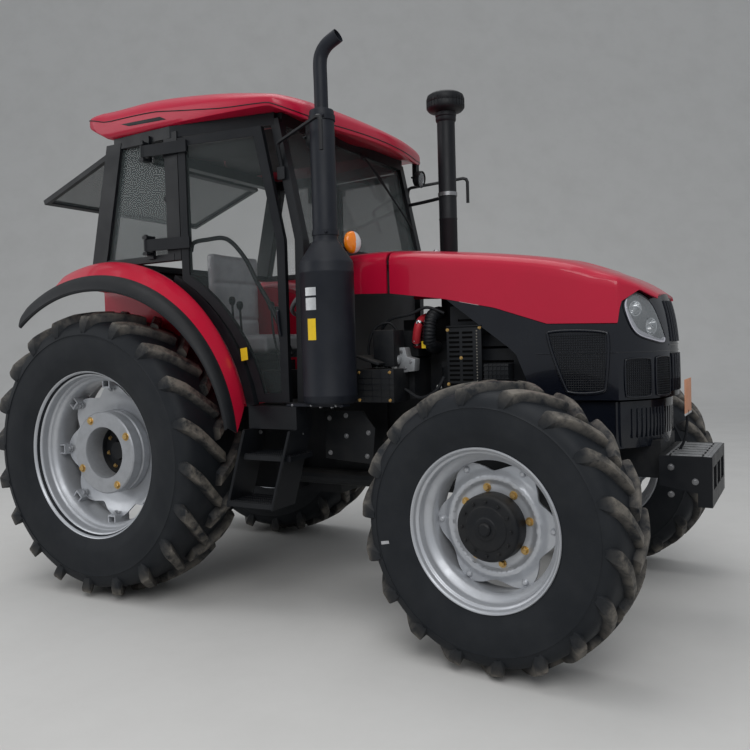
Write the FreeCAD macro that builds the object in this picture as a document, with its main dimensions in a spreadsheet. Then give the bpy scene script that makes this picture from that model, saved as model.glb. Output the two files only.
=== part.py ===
import FreeCAD, Part
import math
import os
import Sketcher

# Farm tractor with a closed cab, four driven wheels and a three-point hitch.
# Millimetres, +X forward, +Y left, +Z up. Everything is drawn with the rear
# axle above x = 0 and each sub-part's Placement then moves it by rear_axle_x,
# which puts the origin on the ground under the middle of the tractor.

Vector = FreeCAD.Vector

SIZES = {
    # Wheels and tyres
    "rear_axle_x": -997.5, "wheelbase": 2300,
    "rear_tyre_diameter": 1550, "rear_tyre_width": 430, "rear_half_track": 780,
    "rear_rim_diameter": 920, "rear_rim_width": 360, "rear_seat_diameter": 870,
    "rear_well_diameter": 800, "rear_disc_inset": 95, "rear_lugs": 20,
    "front_tyre_diameter": 1172, "front_tyre_width": 315, "front_half_track": 895,
    "front_rim_diameter": 660, "front_rim_width": 280, "front_seat_diameter": 614,
    "front_well_diameter": 556, "front_disc_inset": 60, "front_lugs": 18,
    "rear_lug_high": 36, "rear_lug_wide": 54, "rear_lug_sweep": 15,
    "front_lug_high": 29, "front_lug_wide": 46, "front_lug_sweep": 16.5,
    "lug_overlap": 10, "rim_wall": 13, "disc_wall": 12,
    "rear_ring_diameter": 457, "rear_ring_bore": 276, "rear_ring_depth": 120,
    "front_hub_diameter": 288, "front_hub_depth": 150,
    "rear_spindle_diameter": 96, "front_spindle_diameter": 84, "spindle_play": 0.06,
    # Steering
    "steer_rest": -6, "kingpin_half": 690, "kingpin_diameter": 44, "kingpin_play": 0.05,
    "steering_arm": 200, "tie_rod_drop": 125, "tie_rod_diameter": 34,
    "tie_pin_diameter": 20, "tie_eye_diameter": 50, "arm_thick": 24,
    "yoke_half": 50, "yoke_reach": 34, "carrier_start": 68,
    # Front axle and front support
    "axle_beam_diameter": 124, "axle_bowl_diameter": 290, "yoke_wall": 26,
    "knuckle_height": 150, "knuckle_diameter": 132, "running_gap": 3,
    "support_front": 2800, "support_half": 200,
    "support_low": 690, "support_high": 860, "support_wall": 28,
    "pivot_half": 160, "pivot_wall": 60, "pivot_diameter": 120, "pivot_rise": 40,
    "weight_rear": 2800, "weight_front": 3020, "weight_half": 250,
    "weight_low": 580, "weight_high": 800, "weight_wall": 16,
    # Engine and gear housings
    "engine_rear": 1420, "engine_front": 2080, "engine_half": 190,
    "engine_low": 640, "engine_high": 1330, "cover_high": 1450, "cover_half": 110,
    "radiator_rear": 2230, "radiator_front": 2430, "radiator_half": 290,
    "radiator_high": 1500, "guard_long": 380, "guard_wall": 8, "guard_slot": 12,
    "clutch_rear": 1090, "clutch_low": 560, "clutch_high": 1014, "clutch_half": 215,
    "gear_rear": 260, "gear_low": 500, "gear_high": 980, "gear_half": 165,
    "bull_rear": -290, "bull_low": 450, "bull_high": 1060, "bull_half": 215,
    "trumpet_inner_diameter": 300, "trumpet_outer_diameter": 210, "trumpet_end": 610,
    "trumpet_flange_diameter": 330, "trumpet_flange": 34,
    "pto_diameter": 35, "pto_length": 80, "pto_z": 640,
    "shaft_diameter": 84, "shaft_z": 610, "shaft_y": -262, "pinion_reach": 185,
    "transfer_rear": 760, "transfer_front": 870, "transfer_low": 530, "transfer_high": 720,
    "transfer_half": 58, "cab_mount_y": 450, "cab_mount_half": 45,
    # Hood
    "hood_half": 400, "hood_nose_half": 385, "hood_wall": 14,
    "hood_seam": 1545, "hood_gap": 18, "hood_top": 1809, "hood_edge_rear": 1578,
    "hood_mid": 2100, "hood_mid_top": 1750, "hood_mid_edge": 1480,
    "hood_late": 2410, "hood_late_top": 1697,
    "hood_fore": 2600, "hood_fore_top": 1634, "hood_fore_edge": 1388,
    "hood_lip": 2800, "hood_lip_top": 1524, "nose_front": 2849, "nose_corner": 2660,
    "nose_seam": 1045, "panel_rear_high": 1850, "panel_rear_low": 2265,
    "shoulder_width": 120, "shoulder_drop": 62, "hood_hinge_z": 1797, "hood_hinge_half": 180,
    "hood_pin_diameter": 8,
    "fin_pitch": 32, "fin_slot": 16, "grille_low": 1300, "grille_high": 1490,
    "intake_low": 1075, "intake_high": 1250, "skirt_slot_low": 885, "skirt_slot_high": 1005,
    "panel_recess": 5,
    "skirt_low": 835, "skirt_wall": 10, "skirt_half": 355, "skirt_rear": 2240,
    "cowl_rear": 1300,
    # Cab
    "cab_floor_z": 1040, "floor_wall": 26, "roof_rail_z": 2455,
    "a_pillar_half": 650, "a_pillar_top_x": 1080, "a_pillar_knee_x": 1206,
    "a_pillar_knee_z": 1850, "a_pillar_foot_x": 1190, "a_pillar_wide": 50, "a_pillar_deep": 50,
    "b_pillar_half": 755, "b_pillar_x": 490, 
    "b_pillar_wide": 46, "b_pillar_deep": 90,
    "c_pillar_half": 735, "c_pillar_top_x": 70, "c_pillar_foot_x": -85,
    "c_pillar_foot_z": 1829, "c_pillar_wide": 60, "c_pillar_deep": 110,
    "rail_high": 60, "rail_wide": 50, "glass_wall": 6, "glass_gap": 0.3,
    "cab_rear_x": -140, "low_rail_high": 34, "arch_x": 20, "arch_z": 875, "arch_radius": 906,
    "arch_wide": 50, "sill_low": 924, "sill_half": 700, "sill_wide": 120, "floor_step_x": 905,
    "firewall_x": 1190, "seat_platform_z": 1240,
    # Roof
    "roof_half": 790, "roof_rear": -130, "roof_front": 1345, "roof_corner": 1215,
    "roof_high": 2665, "roof_front_high": 2535, "roof_front_low": 2410,
    "roof_bevel": 60,
    # Doors
    "door_gap": 8, "door_wall": 32, "door_frame": 44, "door_low": 1052, "door_high": 2417,
    "door_front_top_x": 1038, "door_front_x": 1148, "door_hinge_diameter": 26,
    "door_pin_diameter": 12, "door_rear_x": 545, "door_set_in": 8, "door_slant": 100,
    "hinge_x": 330, "hinge_half": 815, "hinge_high_z": 2370, "hinge_low_z": 1880,
    # Rear window
    "rear_pane_high": 630, "rear_pane_half": 665, "rear_pane_tube": 28,
    "rear_hinge_x": -28, "rear_hinge_z": 2455, "rear_window_rest": 70,
    "rear_window_drop": 22, "rear_hinge_half": 400, "rear_pin_diameter": 12,
    # Fenders
    "fender_wall": 12, "fender_inner": 535, "fender_shoulder": 745, "fender_crease": 820,
    "fender_outer": 970, "flare_outer": 1035,
    "flare_wall": 12,
    # Steps
    "step_half": 820, "step_wide": 190, "step_upper_z": 800, "step_lower_z": 575,
    "step_upper_rear": 935, "step_upper_front": 1215, "step_lower_rear": 865, "step_lower_front": 1140,
    "step_wall": 8,
    # Exhaust and intake
    "can_x": 1372, "can_y": 694, "can_diameter": 260, "can_low": 1050, "can_high": 1720,
    "can_cone_high": 1830, "sleeve_diameter": 118, "sleeve_high": 2440,
    "tail_diameter": 66, "tail_high": 2690, "tail_bend": 85,
    "stack_x": 1500, "stack_y": 472, "stack_diameter": 106, "stack_low": 1500,
    "stack_high": 2680, "cap_diameter": 222, "cap_high": 2800, "stay_z": 2200, "stay_diameter": 22,
    # Seat, console and steering wheel
    "seat_x": 430, "seat_z": 1400, "seat_long": 460, "seat_wide": 470, "seat_thick": 110,
    "back_high": 520,
    "console_x": 1060, "console_wide": 420, "console_high": 1500,
    "wheel_diameter": 400, "wheel_rim": 28, "wheel_x": 880, "wheel_z": 1620, "wheel_tilt": 35,
    # Hitch
    "link_pivot_x": -130, "link_pivot_z": 520, "link_half_front": 246, "link_half_rear": 400,
    "link_length": 860, "link_high": 70, "link_thick": 24, "link_rest": -4,
    "link_eye_diameter": 74, "link_ball_bore": 28.7, "link_ball_wide": 44, "link_pin_diameter": 30,
    "rod_at": 430, "lift_pivot_z": 960, "lift_pivot_x": -215, "lift_arm": 300,
    "lift_half": 300, "lift_rest": 12, "lift_rod_diameter": 30, "lift_shaft_diameter": 62,
    "lift_pin_diameter": 24, "rod_eye_play": 10, "rod_side": 38, "top_pin_diameter": 25, "top_link_rest": 12,
    "top_link_z": 800, "top_link_length": 560, "top_link_diameter": 36,
    "top_bore": 25.7, "drawbar_z": 400, "drawbar_rear": -700, "drawbar_wide": 80,
    "drawbar_thick": 32, "drawbar_bore": 32,
    # Lamps
    "turn_lamp_x": 1400, "turn_lamp_y": 500, "turn_lamp_z": 1835, "turn_lamp_diameter": 110,
    "work_lamp_diameter": 104, "work_lamp_y": 590, "work_lamp_z": 2345, "mirror_x": 1470, "mirror_y": 860,
    "pin_play": 0.05, "fit_gap": 0.3,
}

doc = FreeCAD.newDocument("FarmTractor")
sheet = doc.addObject("Spreadsheet::Sheet", "Sizes")
for row, (alias, value) in enumerate(SIZES.items(), start=1):
    sheet.set("A%d" % row, alias)
    sheet.set("B%d" % row, str(value))
    sheet.setAlias("B%d" % row, alias)
doc.recompute()


class Size:
    """A length that keeps its value and the sheet formula that it comes from."""

    def __init__(self, value, formula):
        self.value = float(value)
        self.formula = formula

    def combine(self, other, sign, value, swap=False):
        text = other.formula if isinstance(other, Size) else "%.9g" % other
        left, right = (text, self.formula) if swap else (self.formula, text)
        return Size(value, "(%s %s %s)" % (left, sign, right))

    def __float__(self):
        return self.value

    def __add__(self, other):
        return self.combine(other, "+", self.value + float(other))

    def __radd__(self, other):
        return self.combine(other, "+", self.value + float(other), swap=True)

    def __sub__(self, other):
        return self.combine(other, "-", self.value - float(other))

    def __rsub__(self, other):
        return self.combine(other, "-", float(other) - self.value, swap=True)

    def __mul__(self, other):
        return self.combine(other, "*", self.value * float(other))

    def __rmul__(self, other):
        return self * other

    def __truediv__(self, other):
        return self.combine(other, "/", self.value / float(other))

    def __neg__(self):
        return Size(-self.value, "(0 - %s)" % self.formula)


class Book:
    """Sizes by name: book.NAME is bound to the sheet."""

    def __getattr__(self, name):
        return Size(sheet.get(name), "Sizes.%s" % name)


class Numbers:
    """The same sizes as plain numbers, for shapes worked out in code."""

    def __getattr__(self, name):
        return float(sheet.get(name))


s = Book()
n = Numbers()
nodes = {}


# Helpers that make document objects bound to the sheet

def bind(target, path, size):
    if isinstance(size, Size):
        target.setExpression(path, size.formula)
    else:
        owner = target
        *steps, last = path.split(".")
        if steps == ["Placement", "Base"]:
            place = owner.Placement
            setattr(place.Base, last, float(size))
            owner.Placement = place
        else:
            setattr(owner, last, float(size))


def box(name, x, y, z):
    """A block between two named places along each axis."""
    part = doc.addObject("Part::Box", name)
    for edge, span in (("Length", x), ("Width", y), ("Height", z)):
        bind(part, edge, span[1] - span[0])
    for axis, span in (("x", x), ("y", y), ("z", z)):
        bind(part, "Placement.Base." + axis, span[0])
    return part


AXIS_TURN = {
    "x": FreeCAD.Rotation(Vector(0, 1, 0), 90),
    "y": FreeCAD.Rotation(Vector(1, 0, 0), -90),
    "z": FreeCAD.Rotation(),
}


def rod(name, axis, start, diameter, length, flats=0):
    """A round bar from start along an axis, true or in the given number of flats."""
    part = doc.addObject("Part::Prism" if flats else "Part::Cylinder", name)
    part.Placement = FreeCAD.Placement(Vector(), AXIS_TURN[axis])
    for letter, place in zip("xyz", start):
        bind(part, "Placement.Base." + letter, place)
    if flats:
        part.Polygon = flats
    bind(part, "Circumradius" if flats else "Radius", diameter / 2)
    bind(part, "Height", length)
    return part


SKETCH_TURN = {
    "x": FreeCAD.Rotation(Vector(1, 1, 1), 120),
    "y": FreeCAD.Rotation(Vector(1, 0, 0), 90),
    "z": FreeCAD.Rotation(),
}


def draw(sketch, points):
    """A closed outline of straight lines whose corners are bound to the sheet."""
    corners = [(float(a), float(b)) for a, b in points]
    count = len(corners)
    for index, corner in enumerate(corners):
        after = corners[(index + 1) % count]
        sketch.addGeometry(Part.LineSegment(Vector(*corner, 0), Vector(*after, 0)), False)
    for index in range(count):
        sketch.addConstraint(Sketcher.Constraint("Coincident", index, 2, (index + 1) % count, 1))
    for index, point in enumerate(points):
        for kind, place in zip(("DistanceX", "DistanceY"), point):
            rule = Sketcher.Constraint(kind, -1, 1, index, 1, float(place))
            number = sketch.addConstraint(rule)
            if isinstance(place, Size):
                sketch.setExpression("Constraints[%d]" % number, place.formula)


def prism(name, axis, points, low, high):
    """An outline drawn across an axis and carried along it from low to high."""
    sketch = doc.addObject("Sketcher::SketchObject", name + "_outline")
    sketch.Placement = FreeCAD.Placement(Vector(), SKETCH_TURN[axis])
    draw(sketch, points)
    part = doc.addObject("Part::Extrusion", name)
    part.Base = sketch
    part.DirMode = "Custom"
    part.Dir = Vector(axis == "x", axis == "y", axis == "z")
    part.Solid = True
    bind(part, "LengthFwd", high - low)
    bind(part, "Placement.Base." + axis, low)
    return part


def cut(name, base, *tools):
    for number, tool in enumerate(tools):
        part = doc.addObject("Part::Cut", "%s_%d" % (name, number))
        part.Base = base
        part.Tool = tool
        base = part
    return base


def fuse(name, *parts):
    part = doc.addObject("Part::MultiFuse", name)
    part.Shapes = list(parts)
    part.Refine = True
    return part


def feature(name, shape):
    """A shape worked out in code; a turned or moved one is wrapped, so that its own place stays."""
    part = doc.addObject("Part::Feature", name)
    part.Shape = shape if shape.Placement.isIdentity() else Part.Compound([shape])
    return part


def node(label, *parts):
    """A sub-part: one object, or several solids side by side, moved to its place."""
    if len(parts) == 1 and not parts[0].isDerivedFrom("Part::Primitive"):
        piece = parts[0]
    else:
        piece = doc.addObject("Part::Compound", label + "_group")
        piece.Links = list(parts)
    piece.Label = label
    piece.setExpression("Placement.Base.x", "Sizes.rear_axle_x")
    nodes[label] = piece
    return piece


# Shapes worked out in code. Pins, shafts and the bores of the mounts are true rounds. What
# needn't be is made of flats, so that the whole part stays light.

FLATS = 12


def patch(corners):
    """The flat face through four corners, or two triangles where they aren't in one plane."""
    a, b, c, d = corners
    normal = (b - a).cross(c - a)
    flat = abs(normal.dot(d - a)) < 1e-4 * normal.Length
    rings = [[a, b, c, d, a]] if flat else [[a, b, c, a], [a, c, d, a]]
    return [Part.Face(Part.makePolygon(ring)) for ring in rings]


def skin(rings, closed=False):
    """A solid whose skin joins rings of corners in turn, back to the first one or capped at both ends."""
    pairs = list(zip(rings, rings[1:]))
    if closed:
        pairs.append((rings[-1], rings[0]))
        faces = []
    else:
        faces = [Part.Face(Part.makePolygon(ring + ring[:1])) for ring in (rings[0], rings[-1])]
    for here, there in pairs:
        for index in range(len(here)):
            after = (index + 1) % len(here)
            faces += patch([here[index], here[after], there[after], there[index]])
    solid = Part.Solid(Part.Shell(faces))
    if solid.Volume < 0:
        solid.reverse()
    return solid


def outline_at(centre, along, radius, flats=FLATS):
    """Corners of a regular outline around a point, square to a direction."""
    along = Vector(along).normalize()
    across = along.cross(Vector(0, 0, 1) if abs(along.z) < 0.9 else Vector(1, 0, 0)).normalize()
    upward = along.cross(across)
    turns = [2 * math.pi * k / flats for k in range(flats)]
    return [centre + (across * math.cos(turn) + upward * math.sin(turn)) * radius for turn in turns]


def bar(start, run, radius, flats=FLATS, far_radius=None):
    """A straight round bar in flats from a point along a run, or a cone to another radius."""
    start, run = Vector(*start), Vector(*run)
    far = outline_at(start + run, run, far_radius or radius, flats)
    return skin([outline_at(start, run, radius, flats), far])


def flat_bore(start, run, radius, flats=FLATS):
    """The tool for an eye in flats, in which a round of the given radius just fits."""
    return bar(start, run, radius / math.cos(math.pi / flats), flats)


def stack(centre, profile, flats=FLATS):
    """A piece turned about a vertical axis in flats, from its (radius, height) corners."""
    up = Vector(0, 0, 1)
    return skin([outline_at(Vector(*centre) + up * height, up, radius, flats) for radius, height in profile])


def beam(start, end, across, first, second):
    """A straight beam whose ends are rectangles square to the given axis."""
    sides = {"x": ("y", "z"), "y": ("x", "z"), "z": ("x", "y")}[across]

    def corners(centre):
        ring = []
        for one, two in ((-1, -1), (1, -1), (1, 1), (-1, 1)):
            corner = Vector(centre)
            setattr(corner, sides[0], getattr(corner, sides[0]) + one * first / 2)
            setattr(corner, sides[1], getattr(corner, sides[1]) + two * second / 2)
            ring.append(corner)
        return ring

    return skin([corners(Vector(*start)), corners(Vector(*end))])


def tube(points, radius, bend=0.0, flats=8):
    """A pipe in flats along straight runs; each bend is shared out over three mitred turns."""
    path = [Vector(*point) for point in points]
    line = path[:1]
    for before, corner, after in zip(path, path[1:], path[2:]):
        back = (before - corner).normalize()
        ahead = (after - corner).normalize()
        turn = math.pi - back.getAngle(ahead)
        setback = bend * math.tan(turn / 2)
        bow = bend / math.cos(turn / 2) - bend
        line += [corner + back * setback, corner + (back + ahead).normalize() * bow, corner + ahead * setback]
    line.append(path[-1])
    runs = [(there - here).normalize() for here, there in zip(line, line[1:])]
    rings = [outline_at(line[0], runs[0], radius, flats)]
    for index in range(1, len(line)):
        run = runs[index - 1]
        mitre = run + runs[index] if index < len(runs) else run
        rings.append([q + run * ((line[index] - q).dot(mitre) / run.dot(mitre)) for q in rings[-1]])
    return skin(rings)


def flat_ring(profile, flats):
    """A ring about the Y axis in equal flats, from its section as (radius, y) corners."""
    turns = [2 * math.pi * k / flats for k in range(flats)]
    return skin([[Vector(radius * math.cos(turn), y, radius * math.sin(turn)) for radius, y in profile]
                 for turn in turns], closed=True)


def arc_points(cx, cz, radius, start, end, chords):
    """Corners along an arc in side view, as (x, z), between two angles in degrees."""
    turns = [math.radians(start + (end - start) * k / chords) for k in range(chords + 1)]
    return [(cx + radius * math.cos(turn), cz + radius * math.sin(turn)) for turn in turns]


def moved(shape, place, turn=None):
    copy = shape.copy()
    copy.Placement = FreeCAD.Placement(Vector(*place), turn or FreeCAD.Rotation()).multiply(copy.Placement)
    return copy


def flipped(shape):
    return shape.mirror(Vector(0, 0, 0), Vector(0, 1, 0))


def mirrored_pair(shapes):
    return shapes + [flipped(shape) for shape in shapes]


# Wheels: tyre and rim about their own axis, the outer side at +y

def onto_plane(point, first, second, third):
    """The point turned about the wheel's axle, by the shorter way, onto the plane of three others."""
    across = (second - first).cross(third - first)
    reach = math.hypot(point.x, point.z)
    level = (across.dot(first) - across.y * point.y) / (reach * math.hypot(across.x, across.z))
    middle_angle = math.atan2(across.z, across.x)
    spread = math.acos(level)
    choices = [middle_angle + spread, middle_angle - spread]
    placed = [Vector(reach * math.cos(angle), point.y, reach * math.sin(angle)) for angle in choices]
    return min(placed, key=lambda place: place.distanceToPoint(point))


def lug_shape(kind, start):
    """One tread bar from past the middle to its square outer end, with its buttress on the sidewall."""
    outer = getattr(n, kind + "_tyre_diameter") / 2
    half = getattr(n, kind + "_tyre_width") / 2
    spread = getattr(n, kind + "_lug_wide") / outer / 2
    sweep = math.radians(getattr(n, kind + "_lug_sweep"))
    deep = getattr(n, kind + "_lug_high") * 1.6
    top = outer / math.cos(0.8 * spread)
    rings = []
    for y, high, low, turn, wide in ((-n.lug_overlap, top, outer - deep, 0, spread),
                                     (0.98 * half, 0.962 * top, 0.86 * outer, sweep, 1.15 * spread)):
        ring = ((low, -wide), (low, wide), (high, 0.8 * wide), (high, -0.8 * wide))
        rings.append([Vector(radius * math.cos(start + turn + offset), y, radius * math.sin(start + turn + offset))
                      for radius, offset in ring])
    inner, far = rings
    for foot, head in ((0, 3), (1, 2)):
        far[foot] = onto_plane(far[foot], inner[foot], inner[head], far[head])
    return skin(rings)


def tyre_shape(kind):
    """The carcass in flats with a ring of lugs on each side, one side half a pitch behind the other."""
    outer = getattr(n, kind + "_tyre_diameter") / 2
    half = getattr(n, kind + "_tyre_width") / 2
    seat = getattr(n, kind + "_seat_diameter") / 2
    rim = getattr(n, kind + "_rim_width") / 2
    lugs = int(getattr(n, kind + "_lugs"))
    crown = outer - getattr(n, kind + "_lug_high")
    bead = rim - n.rim_wall - 8
    side = [(seat, bead), (seat + 0.5 * (crown - seat), half), (crown, 0.8 * half)]
    profile = side + [(radius, -y) for radius, y in reversed(side)]
    carcass = flat_ring(profile, lugs)
    pitch = 2 * math.pi / lugs
    bars = []
    for k in range(lugs):
        bars.append(lug_shape(kind, k * pitch - math.pi / 2))
        bars.append(flipped(lug_shape(kind, (k + 0.5) * pitch - math.pi / 2)))
    return carcass.multiFuse(bars).removeSplitter()


def rim_ring(kind):
    """The rim's dished ring: flange, bead seat and well, with the same wall all round."""
    flange = getattr(n, kind + "_rim_diameter") / 2
    seat = getattr(n, kind + "_seat_diameter") / 2
    well = getattr(n, kind + "_well_diameter") / 2
    half = getattr(n, kind + "_rim_width") / 2
    wall = n.rim_wall
    lip = half - wall
    outside = [(flange, half), (seat, lip), (well, 0.25 * half)]
    inside = [(well - wall, 0.25 * half), (seat - wall, lip), (flange - wall, half)]
    profile = outside + [(r, -y) for r, y in reversed(outside)]
    profile += [(r, -y) for r, y in reversed(inside)] + inside
    return flat_ring(profile, int(getattr(n, kind + "_lugs")))


def disc_windows(count, radius, size):
    """Tools for a ring of windows through a wheel disc."""
    windows = []
    for k in range(count):
        window = Part.makeBox(size, 60, size, Vector(radius - size / 2, -20, -size / 2))
        window.rotate(Vector(), Vector(0, 1, 0), 360 / count * (k + 0.5))
        windows.append(window)
    return Part.Compound(windows)


def rear_rim_shape():
    well = n.rear_well_diameter / 2 - n.rim_wall
    face = n.rear_rim_width / 2 - n.rear_disc_inset
    ring = n.rear_ring_diameter / 2
    bore = n.rear_ring_bore / 2
    flats = int(n.rear_lugs)
    disc = flat_ring([(bore + 10, 0), (well + 2, 0), (well + 2, n.disc_wall), (bore + 10, n.disc_wall)], flats)
    disc = disc.cut(disc_windows(8, (ring + well) / 2, 84))
    hub_low = face - n.rear_ring_depth
    hub = flat_ring([(bore, hub_low), (ring, hub_low), (ring, face), (bore, face)], FLATS)
    back = bar((0, hub_low - 20, 0), (0, 60, 0), bore + 6)
    back = back.cut(flat_bore((0, hub_low - 20, 0), (0, 50, 0), n.rear_spindle_diameter / 2 + n.spindle_play))
    disc.translate(Vector(0, hub_low + 20, 0))
    return rim_ring("rear").multiFuse([disc, hub, back]).removeSplitter()


def front_rim_shape():
    well = n.front_well_diameter / 2 - n.rim_wall
    face = n.front_rim_width / 2 - n.front_disc_inset
    hub = n.front_hub_diameter / 2
    flats = int(n.front_lugs)
    disc = flat_ring([(hub - 20, 0), (well + 2, 0), (well + 2, n.disc_wall), (hub - 20, n.disc_wall)], flats)
    disc = disc.cut(disc_windows(6, (hub + well) / 2 + 8, 58))
    disc.translate(Vector(0, face - n.front_hub_depth * 0.5, 0))
    outer = face + 25
    inner = outer - n.front_hub_depth
    out = Vector(0, 1, 0)
    body = skin([outline_at(out * y, out, radius, flats)
                 for radius, y in ((hub, inner), (hub, outer - 20), (0.86 * hub, outer))])
    body = body.cut(flat_bore((0, inner, 0), (0, n.front_hub_depth - 40, 0),
                              n.front_spindle_diameter / 2 + n.spindle_play))
    return rim_ring("front").multiFuse([disc, body]).removeSplitter()


rear_tyre = tyre_shape("rear")
front_tyre = tyre_shape("front")
rear_rim = rear_rim_shape()
front_rim = front_rim_shape()

steer = FreeCAD.Rotation(Vector(0, 0, 1), n.steer_rest)
front_z = n.front_tyre_diameter / 2
rear_z = n.rear_tyre_diameter / 2


def on_kingpin(shape, side):
    """A piece drawn outwards from the kingpin, set on one side and steered as it is parked."""
    piece = shape if side > 0 else flipped(shape)
    return moved(piece, (n.wheelbase, side * n.kingpin_half, front_z), steer)


def wheel_nodes(side, word):
    offset = n.front_half_track - n.kingpin_half
    for label, rear_piece, front_piece in (("tyre", rear_tyre, front_tyre), ("rim", rear_rim, front_rim)):
        rear = moved(rear_piece, (0, n.rear_half_track, rear_z))
        rear = rear if side > 0 else flipped(rear)
        node("%s_rear_%s" % (label, word), feature("%s_rear_%s" % (label, word), rear))
        front = moved(front_piece, (0, offset, 0))
        node("%s_front_%s" % (label, word), feature("%s_front_%s" % (label, word), on_kingpin(front, side)))


for side, word in ((-1, "right"), (1, "left")):
    wheel_nodes(side, word)


# Front axle, knuckles and tie rod

def front_axle_shape():
    beam_end = n.kingpin_half - n.knuckle_diameter / 2 - 12
    reach = n.kingpin_half + n.yoke_reach
    up = n.knuckle_height / 2 + n.running_gap
    bowl = n.axle_bowl_diameter / 2
    swell = ((-0.96, 0.5), (-0.55, 0.92), (0.55, 0.92), (0.96, 0.5))
    out = Vector(0, 1, 0)
    parts = [skin([outline_at(Vector(n.wheelbase, n.shaft_y + at * bowl, front_z), out, share * bowl, 16)
                   for at, share in swell])]
    for side in (-1, 1):
        parts.append(bar((n.wheelbase, 0, front_z), (0, side * beam_end, 0), n.axle_beam_diameter / 2))
        for level in (-1, 1):
            low = up if level > 0 else -up - n.yoke_wall
            inner = beam_end - 60
            arm = Part.makeBox(2 * n.yoke_half, reach - inner, n.yoke_wall,
                               Vector(n.wheelbase - n.yoke_half, inner if side > 0 else -reach, front_z + low))
            eye = flat_bore((n.wheelbase, side * n.kingpin_half, front_z + level * 100 - 100), (0, 0, 200),
                            n.kingpin_diameter / 2 + n.kingpin_play)
            parts.append(arm.cut(eye))
        web_y = min(side * beam_end, side * (beam_end - 60))
        web = Part.makeBox(2 * n.yoke_half, 60, 2 * up, Vector(n.wheelbase - n.yoke_half, web_y, front_z - up))
        parts.append(web)
    reach = n.pivot_half + n.pivot_wall
    parts.append(bar((n.wheelbase - reach, 0, front_z + n.pivot_rise), (2 * reach, 0, 0),
                     n.pivot_diameter / 2 - n.fit_gap))
    parts.append(bar((n.wheelbase - n.pinion_reach, n.shaft_y, n.shaft_z), (n.pinion_reach, 0, 0),
                     n.shaft_diameter / 2 + 14))
    return parts[0].multiFuse(parts[1:]).removeSplitter()


def knuckle_shape():
    """Kingpin boss, its two stub pins, the spindle outwards and the steering arm back."""
    height = n.knuckle_height
    boss = Part.makeCylinder(n.knuckle_diameter / 2, height, Vector(0, 0, -height / 2))
    pin_reach = height / 2 + n.running_gap + n.yoke_wall
    pins = bar((0, 0, -pin_reach), (0, 0, 2 * pin_reach), n.kingpin_diameter / 2)
    offset = n.front_half_track - n.kingpin_half
    half = n.front_rim_width / 2
    hub_outer = offset + half - n.front_disc_inset + 25
    hub_inner = hub_outer - n.front_hub_depth
    out = Vector(0, 1, 0)
    carrier = bar((0, n.carrier_start, 0), out * (hub_inner - n.running_gap - n.carrier_start),
                  n.front_hub_diameter / 2 - 30)
    neck = bar((0, 0, 0), out * (n.carrier_start + 10), n.knuckle_diameter / 2 - 6)
    spindle = Part.makeCylinder(n.front_spindle_diameter / 2, hub_inner + 90, Vector(), out)
    thick = n.arm_thick
    low = -n.tie_rod_drop - thick / 2
    near, far = n.carrier_start + 4, n.carrier_start + 40
    plan = [Vector(-n.steering_arm, -22, low), Vector(-50, near - 30, low), Vector(40, near, low),
            Vector(40, far, low), Vector(-70, far, low), Vector(-n.steering_arm, 22, low)]
    arm = Part.Face(Part.makePolygon(plan + plan[:1])).extrude(Vector(0, 0, thick))
    root = Part.makeBox(80, far - near, -low - 60, Vector(-40, near, low))
    pin = Part.makeCylinder(n.tie_pin_diameter / 2, thick + n.running_gap + n.tie_rod_diameter + 6,
                            Vector(-n.steering_arm, 0, low))
    eye = bar((-n.steering_arm, 0, low), (0, 0, thick), 24)
    return boss.multiFuse([pins, neck, carrier, spindle, arm, root, pin, eye]).removeSplitter()


node("front_axle", feature("front_axle_body", front_axle_shape()))
knuckle = knuckle_shape()
for side, word in ((-1, "right"), (1, "left")):
    node("knuckle_" + word, feature("knuckle_" + word, on_kingpin(knuckle, side)))


def tie_rod_shape():
    level = front_z - n.tie_rod_drop + n.arm_thick / 2 + n.running_gap
    angle = math.radians(n.steer_rest)
    back = Vector(-n.steering_arm * math.cos(angle), -n.steering_arm * math.sin(angle), 0)
    ends = [Vector(n.wheelbase, side * n.kingpin_half, level) + back for side in (-1, 1)]
    eye = n.tie_eye_diameter / 2
    up = Vector(0, 0, n.tie_rod_diameter)
    start = ends[0] + Vector(0, eye - 6, n.tie_rod_diameter / 2)
    long = ends[1].y - ends[0].y - 2 * (eye - 6)
    whole = bar(start, (0, long, 0), n.tie_rod_diameter / 2).multiFuse([bar(end, up, eye) for end in ends])
    for end in ends:
        whole = whole.cut(flat_bore(end - up, up * 3, n.tie_pin_diameter / 2 + n.pin_play))
    return whole.removeSplitter()


node("tie_rod", feature("tie_rod_body", tie_rod_shape()))


# Chassis: front support, weight bracket, engine, housings

middle = Size(0, "0")
support_x = (s.engine_front, s.support_front)
support_outer = box("support_outer", support_x, (-s.support_half, s.support_half), (s.support_low, s.support_high))
support_pocket = box("support_pocket", (s.engine_front + s.support_wall, s.support_front - s.support_wall),
                     (-s.support_half + s.support_wall, s.support_half - s.support_wall),
                     (s.support_low + 80, s.support_high + 10))
axle_room = box("support_axle_room", (s.wheelbase - s.pivot_half, s.wheelbase + s.pivot_half),
                (-s.support_half - 10, s.support_half + 10), (s.support_low - 10, s.support_low + 60))
pivot_z = s.front_tyre_diameter / 2 + s.pivot_rise
ears = []
for number, side in enumerate((-1, 1)):
    near = s.wheelbase + s.pivot_half * side
    far = s.wheelbase + (s.pivot_half + s.pivot_wall) * side
    ears.append(box("pivot_ear_%d" % number, (near, far) if side > 0 else (far, near),
                    (-s.pivot_diameter * 0.75, s.pivot_diameter * 0.75),
                    (pivot_z - s.pivot_diameter * 0.7, s.support_low + 20)))
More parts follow.
